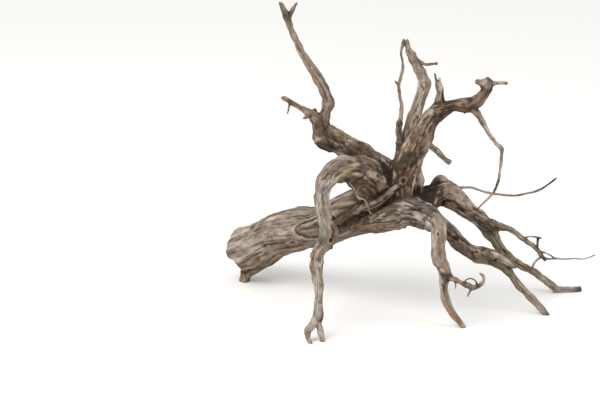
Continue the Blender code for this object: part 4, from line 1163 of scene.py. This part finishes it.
        ("back_root", -116, 392, 9, 7, 0.5), ("back_fork", -166, 490, 24, 4, 0.6), ("hanging_twig", 174, 344, 40, 4, 0.7),
        ("whip", -26, 528, 40, 4, 0.6), ("upper_root", 150, 516, 12, 8, 0.6), 
        ("tall_root", -8, 438, 34, 9, 0.7), ("back_root", -66, 380, 34, 6, 0.7), ("prop", 116, 184, 22, 8, 0.5),
        ("hoop", -194, 140, 24, 8, 0.6),
    ),
}
# Broken ends are pale, other ends are darker
brokenEnds = ("upper_stub_top", "back_stub", "upper_spike_tip")
tint = {
    "patch": (0.30, 38.0, 80.0),  # how strong the slow patches of each stain are, and their size
    "lightStreak": (0.15, 9.0, 110.0),
    "lightFine": (0.11, 4.2, 30.0),
    "crest": 0.12,  # how much lighter a ridge is than a furrow
    "upperSilverAndLight": 0.10,  # how much more silver the upper side is, and how much lighter with painted light
    "underRustAndShade": 0.16,  # how much redder the underside is, and how much darker with painted shade
    "tipReach": 16.0,  # mm of a root's end that is darker
    "tipDark": 0.45,
    "creviceShade": 11.0,  # mm from another root where painted shade begins
    "hollowSmall": 0.35,  # mm of hollow that is fully darkened, dirt and painted shade, over a few mm
    "hollowWide": 1.6,
}


def rootMask(kind):
    column = woodKinds.index(kind)
    values = np.array([woods[woodFrom.get(name, name)][column] for name in roots])[rootOf]
    for _ in range(5):
        mean = neighbourMean(values[:, None], edges, degree)[:, 0]
        values = values + (mean - values) * (1 - smoothstep(1.0, 5.0, seamGap))
    return values


def stained(kind):
    mask = np.zeros(len(verts))
    for root, across, up, halfLong, halfWide, amount in stains[kind]:
        spot = seenPlace(rootNumbers[root], across, up)
        near, long, wide = aboutMark(spot, halfLong, halfWide, 1.6)
        ragged = np.hypot(long, wide) + 0.35 * wiggle[near] + 0.25 * fibres[near]
        mask[near] = np.maximum(mask[near], amount * (1 - smoothstep(0.65, 1.2, ragged)))
    return mask


normals = normalsOf(verts, faces)
upward = normals[:, 2]
flat = softened(verts, edges, degree, 0.5, 4)
wide = softened(flat, edges, degree, 0.6, 24)
hollow = ((flat - verts) * normals).sum(axis=1)
hollowWide = ((wide - verts) * normals).sum(axis=1)
# Darker in the hollows of the surface: dirt, and painted shade
dirtAndShade = 0.55 * smoothstep(0.03, tint["hollowSmall"], hollow) + 0.5 * smoothstep(0.3, tint["hollowWide"], hollowWide)
# Painted shade, darker near where another root meets this one
creviceShade = 1 - smoothstep(-1.0, tint["creviceShade"], rootGap)
amount, across, lengthwise = tint["patch"]
patches = {
    kind: amount * grainNoise(grain, across, lengthwise, 80 + 3 * i) + 0.6 * amount * noise(verts / 15.0, 90 + i)
    for i, kind in enumerate(woodKinds)
}
streaks = (
    tint["lightStreak"][0] * grainNoise(grain, *tint["lightStreak"][1:], 70)
    + tint["lightFine"][0] * grainNoise(grain, *tint["lightFine"][1:], 71)
)
ends = np.array([tube["along"].max() for tube in tubes])[rootOf]
atTip = (1 - smoothstep(2.0, tint["tipReach"], ends - along)) * smoothstep(0.0, 3.0, seamGap)
broken = np.array([name in brokenEnds for name in roots])[rootOf]
# Pale wood of marks, stains and broken ends, with the painted highlights of the pale stains
paleAndHighlight = np.maximum(np.maximum(paleAndHighlight, stained("paleAndHighlight")), np.where(broken, 0.7 * atTip, 0.0))
atTip = np.where(broken, 0.0, atTip)
masks = {
    # Tone: lighter on the upper side with painted light and with the painted highlights of the pale stains, darker with
    # the shade stains and with the dirt and painted shade of hollows
    "tone": rootMask("light") + 0.45 * patches["light"] + streaks + tint["crest"] * (0.7 * ridges + 0.5 * fibres)
    + tint["upperSilverAndLight"] * upward + 0.35 * paleAndHighlight - 0.35 * stained("shade") - 0.25 * dirtAndShade,
    "ash": rootMask("ash") * 0.8 + patches["ash"] + tint["upperSilverAndLight"] * upward + stained("ash"),
    "sand": rootMask("sand") * 0.8 + patches["sand"] + stained("sand") - 0.2 * np.minimum(upward, 0),
    "rust": rootMask("rust") * 0.7 + patches["rust"] - tint["underRustAndShade"] * np.minimum(upward, 0) * 2 + stained("rust"),
    # Soot, with painted shade on the underside and where roots meet
    "sootAndShade": rootMask("sootAndShade") * 0.7 + patches["sootAndShade"] * 0.8 - tint["underRustAndShade"] * np.minimum(upward, 0)
    + 0.7 * creviceShade + stained("sootAndShade") + tint["tipDark"] * atTip - 0.5 * paleAndHighlight,
    # Dark marks, with the dirt and painted shade of hollows and the painted shadow of the hub
    "crackAndShade": np.maximum(np.maximum(dark, 0.7 * dirtAndShade), stained("shadowAndDarkMarks")),
    "crackOpen": crackOpen,
    "cut": isEnd * 1.0,
}
crackLine = np.clip(crackLine, -6.0, 6.0)


def carryMasks(mesh):
    for name, values in (*masks.items(), ("crackLine", crackLine)):
        layer = mesh.attributes.new(name, "FLOAT", "POINT")
        low = -6.0 if name == "crackLine" else 0.0
        layer.data.foreach_set("value", np.clip(values, low, 6.0 if low else 1.0).astype(np.float32))
    layer = mesh.attributes.new("grain", "FLOAT_VECTOR", "POINT")
    layer.data.foreach_set("vector", grain.astype(np.float32).ravel())


def addNode(tree, kind, inputs=None, **settings):
    node = tree.nodes.new(kind)
    for key, value in settings.items():
        setattr(node, key, value)
    for key, value in (inputs or {}).items():
        if isinstance(value, bpy.types.NodeSocket):
            tree.links.new(value, node.inputs[key])
        else:
            node.inputs[key].default_value = value
    return node


# Bare root wood, debarked by weather and water: matt, grey-brown, with light ridges and dark
# fissures along its grain, silvered where the sky reaches it and rusty below
# Painted shade, shadow and highlights also reach these colours through the masks
weathered = {
    "shades": ((0.0, "#403127"), (0.28, "#69594a"), (0.5, "#928273"), (0.72, "#b3a69b"), (1.0, "#cfc6c0")),
    "ash": "#98948d",
    "sand": "#ab946d",
    "rust": "#87593a",
    "sootAndShade": "#34291f",
    # the darkest colour: cracks, and painted shade and shadow
    "crackAndShade": "#261b12",
    "cut": "#a98b68",
    "ashMost": 0.6,
    "sandMost": 0.36,
    "rustMost": 0.5,
    "sootAndShadeMost": 0.88,
    "crackAndShadeMost": 0.85,
    "fissureMost": 0.56,
    "checkMost": 0.5,
    "roughness": 0.82,
    "ior": 1.5,
    "sheenOfSurface": 0.25,  # open pores leave little of the usual reflection
    "streakMm": (2.5, 24.0),  # finer fibres wouldn't show at the picture's size
    "fibreMm": (1.5, 8.0),
    "flakeMm": (3.2, 10.0),
    "checkMm": (3.4, 60.0),
    "mottleMm": 3.4,
    "streakDepth": 0.34,
    "mottleDepth": 0.56,
    "flakeDepth": 0.6,
    "fibreHeightMm": 0.6,
}


def makeWeatheredWood():
    wood = bpy.data.materials.new("weatheredRootWood")
    wood.use_nodes = True
    tree = wood.node_tree
    surface = tree.nodes["Principled BSDF"]
    surface.inputs["Roughness"].default_value = weathered["roughness"]
    surface.inputs["IOR"].default_value = weathered["ior"]
    surface.inputs["Specular IOR Level"].default_value = weathered["sheenOfSurface"]

    def carried(name, kind="Fac"):
        return addNode(tree, "ShaderNodeAttribute", attribute_name=name).outputs[kind]

    def sum3(first, factor, more, **settings):
        return addNode(tree, "ShaderNodeMath", {0: first, 1: factor, 2: more}, operation="MULTIPLY_ADD",
                       **settings).outputs[0]

    def times(first, second):
        return addNode(tree, "ShaderNodeMath", {0: first, 1: second}, operation="MULTIPLY", use_clamp=True).outputs[0]

    grainAt = carried("grain", "Vector")

    def along(size, detail, rough):
        across, lengthwise = size
        scaled = addNode(tree, "ShaderNodeVectorMath", {0: grainAt, 1: (1 / across, 1 / across, 1 / lengthwise)},
                         operation="MULTIPLY")
        return addNode(tree, "ShaderNodeTexNoise", {
            "Vector": scaled.outputs[0], "Scale": 1.0, "Detail": detail, "Roughness": rough,
        }).outputs["Fac"]

    def thinLine(value, width):
        off = addNode(tree, "ShaderNodeMath", {0: value}, operation="ABSOLUTE").outputs[0]
        return addNode(tree, "ShaderNodeMapRange", {
            "Value": off, "From Min": 0.3 * width, "From Max": width, "To Min": 1.0, "To Max": 0.0,
        }, interpolation_type="SMOOTHSTEP").outputs["Result"]

    streak = along(weathered["streakMm"], 3.0, 0.6)
    fibre = along(weathered["fibreMm"], 2.0, 0.5)
    check = thinLine(sum3(along(weathered["checkMm"], 1.0, 0.5), 1.0, -0.5), 0.03)
    wide = along((14.0, 70.0), 1.0, 0.5)
    openChecks = addNode(tree, "ShaderNodeMapRange", {
        "Value": wide, "From Min": 0.46, "From Max": 0.6,
    }, interpolation_type="SMOOTHSTEP").outputs["Result"]
    place = addNode(tree, "ShaderNodeTexCoord").outputs["Object"]
    mottle = addNode(tree, "ShaderNodeTexNoise", {
        "Vector": place, "Scale": 1 / (weathered["mottleMm"] * mm), "Detail": 3.0, "Roughness": 0.6,
    }).outputs["Fac"]
    both = addNode(tree, "ShaderNodeMath", {0: streak, 1: fibre}, operation="ADD").outputs[0]
    spread = sum3(both, weathered["streakDepth"], -weathered["streakDepth"])
    mottled = sum3(mottle, weathered["mottleDepth"], -0.5 * weathered["mottleDepth"])
    flake = along(weathered["flakeMm"], 2.0, 0.6)
    raggedLine = sum3(flake, 3.0, addNode(tree, "ShaderNodeMath", {0: carried("crackLine"), 1: -1.5},
                                         operation="ADD").outputs[0])
    fissure = times(thinLine(raggedLine, 1.0), carried("crackOpen"))
    flaky = sum3(flake, weathered["flakeDepth"], -0.5 * weathered["flakeDepth"])
    rough = addNode(tree, "ShaderNodeMath", {0: mottled, 1: flaky}, operation="ADD").outputs[0]
    unevenness = addNode(tree, "ShaderNodeMath", {0: spread, 1: rough}, operation="ADD").outputs[0]
    tone = addNode(tree, "ShaderNodeMath", {0: carried("tone"), 1: unevenness}, operation="ADD").outputs[0]
    ramp = addNode(tree, "ShaderNodeValToRGB", {"Fac": tone})
    stops = ramp.color_ramp.elements
    while len(stops) < len(weathered["shades"]):
        stops.new(0.5)
    for stop, (place, colour) in zip(stops, weathered["shades"]):
        stop.position, stop.color = place, linear(colour)
    shares = {
        name: times(sum3(unevenness, 0.9, carried(name)), weathered[name + "Most"])
        for name in ("ash", "sand", "rust", "sootAndShade", "crackAndShade")
    }
    shares["check"] = times(times(check, openChecks), weathered["checkMost"])
    shares["fissure"] = times(fissure, weathered["fissureMost"])
    colour = ramp.outputs["Color"]
    for name, share in shares.items():
        colour = addNode(tree, "ShaderNodeMix", {
            "Factor": share, "A": colour, "B": linear(weathered.get(name, weathered["crackAndShade"])),
        }, data_type="RGBA").outputs["Result"]
    tree.links.new(colour, surface.inputs["Base Color"])
    bump = addNode(tree, "ShaderNodeBump", {
        "Strength": 0.7, "Distance": weathered["fibreHeightMm"] * mm,
        "Height": addNode(tree, "ShaderNodeMath", {0: both, 1: flake}, operation="ADD").outputs[0],
    })
    tree.links.new(bump.outputs["Normal"], surface.inputs["Normal"])
    return wood


driftwood.data = meshOf("driftwood", verts, faces)
driftwood.data.shade_smooth()
carryMasks(driftwood.data)
driftwood.data.materials.append(makeWeatheredWood())
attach(driftwood, "root")
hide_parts("driftwood_root")
print("wood finished:", len(verts), "points,", len(faces), "triangles")

# The eye in front of the sheet, as the roots' places were drawn
view = {"lens": 120.0, "sensor": 36.0}


def makeCamera():
    lean = sheet["lean"]
    data = bpy.data.cameras.new("eye")
    data.lens, data.sensor_width = view["lens"], view["sensor"]
    data.clip_end = 100.0
    camera = bpy.data.objects.new("eye", data)
    camera.location = (
        (sheet["eyeAcross"] - sheet["middleX"]) * mm,
        (sheet["eyeUp"] * math.sin(lean) - sheet["middleY"] - sheet["eyeDistance"] * math.cos(lean)) * mm,
        (sheet["eyeUp"] * math.cos(lean) + sheet["eyeDistance"] * math.sin(lean)) * mm,
    )
    camera.rotation_euler = (math.radians(90) - lean, 0, 0)
    bpy.context.scene.collection.objects.link(camera)
    bpy.context.scene.camera = camera


# Soft studio light: a wide lamp above and to the left, a weaker one at the right and a pale room
studio = {
    "floor": "#f4f3f1",
    "floorSize": 12.0,
    "room": "#ffffff",
    "roomStrength": 0.9,
    "lamps": (
        # name, place in m, size in m, watts, colour
        ("over left", (-1.6, -1.2, 2.6), 2.4, 60.0, "#fffcf7"),
        ("right", (2.4, -1.0, 1.6), 1.5, 18.0, "#f4f8ff"),
    ),
    "aim": (0.0, 0.0, 0.25),
}


def makeLight():
    world = bpy.data.worlds.new("room")
    world.use_nodes = True
    background = world.node_tree.nodes["Background"]
    background.inputs["Color"].default_value = linear(studio["room"])
    background.inputs["Strength"].default_value = studio["roomStrength"]
    bpy.context.scene.world = world
    for name, place, size, watts, colour in studio["lamps"]:
        data = bpy.data.lights.new(name, "AREA")
        data.shape = "DISK"
        data.size, data.energy = size, watts
        data.color = linear(colour)[:3]
        lamp = bpy.data.objects.new(name, data)
        lamp.location = place
        lamp.rotation_euler = (Vector(studio["aim"]) - Vector(place)).to_track_quat("-Z", "Y").to_euler()
        bpy.context.scene.collection.objects.link(lamp)
    bpy.context.scene.view_settings.view_transform = "Standard"


def makeFloor():
    half = studio["floorSize"] / 2
    mesh = bpy.data.meshes.new("floor")
    mesh.from_pydata([(-half, -half, 0), (half, -half, 0), (half, half, 0), (-half, half, 0)], [], [(0, 1, 2, 3)])
    floor = bpy.data.objects.new("floor", mesh)
    bpy.context.scene.collection.objects.link(floor)
    paint = bpy.data.materials.new("mattPaleFloor")
    paint.use_nodes = True
    surface = paint.node_tree.nodes["Principled BSDF"]
    surface.inputs["Base Color"].default_value = linear(studio["floor"])
    surface.inputs["Roughness"].default_value = 0.9
    mesh.materials.append(paint)


makeCamera()
makeLight()
makeFloor()
print("camera, light and floor set")
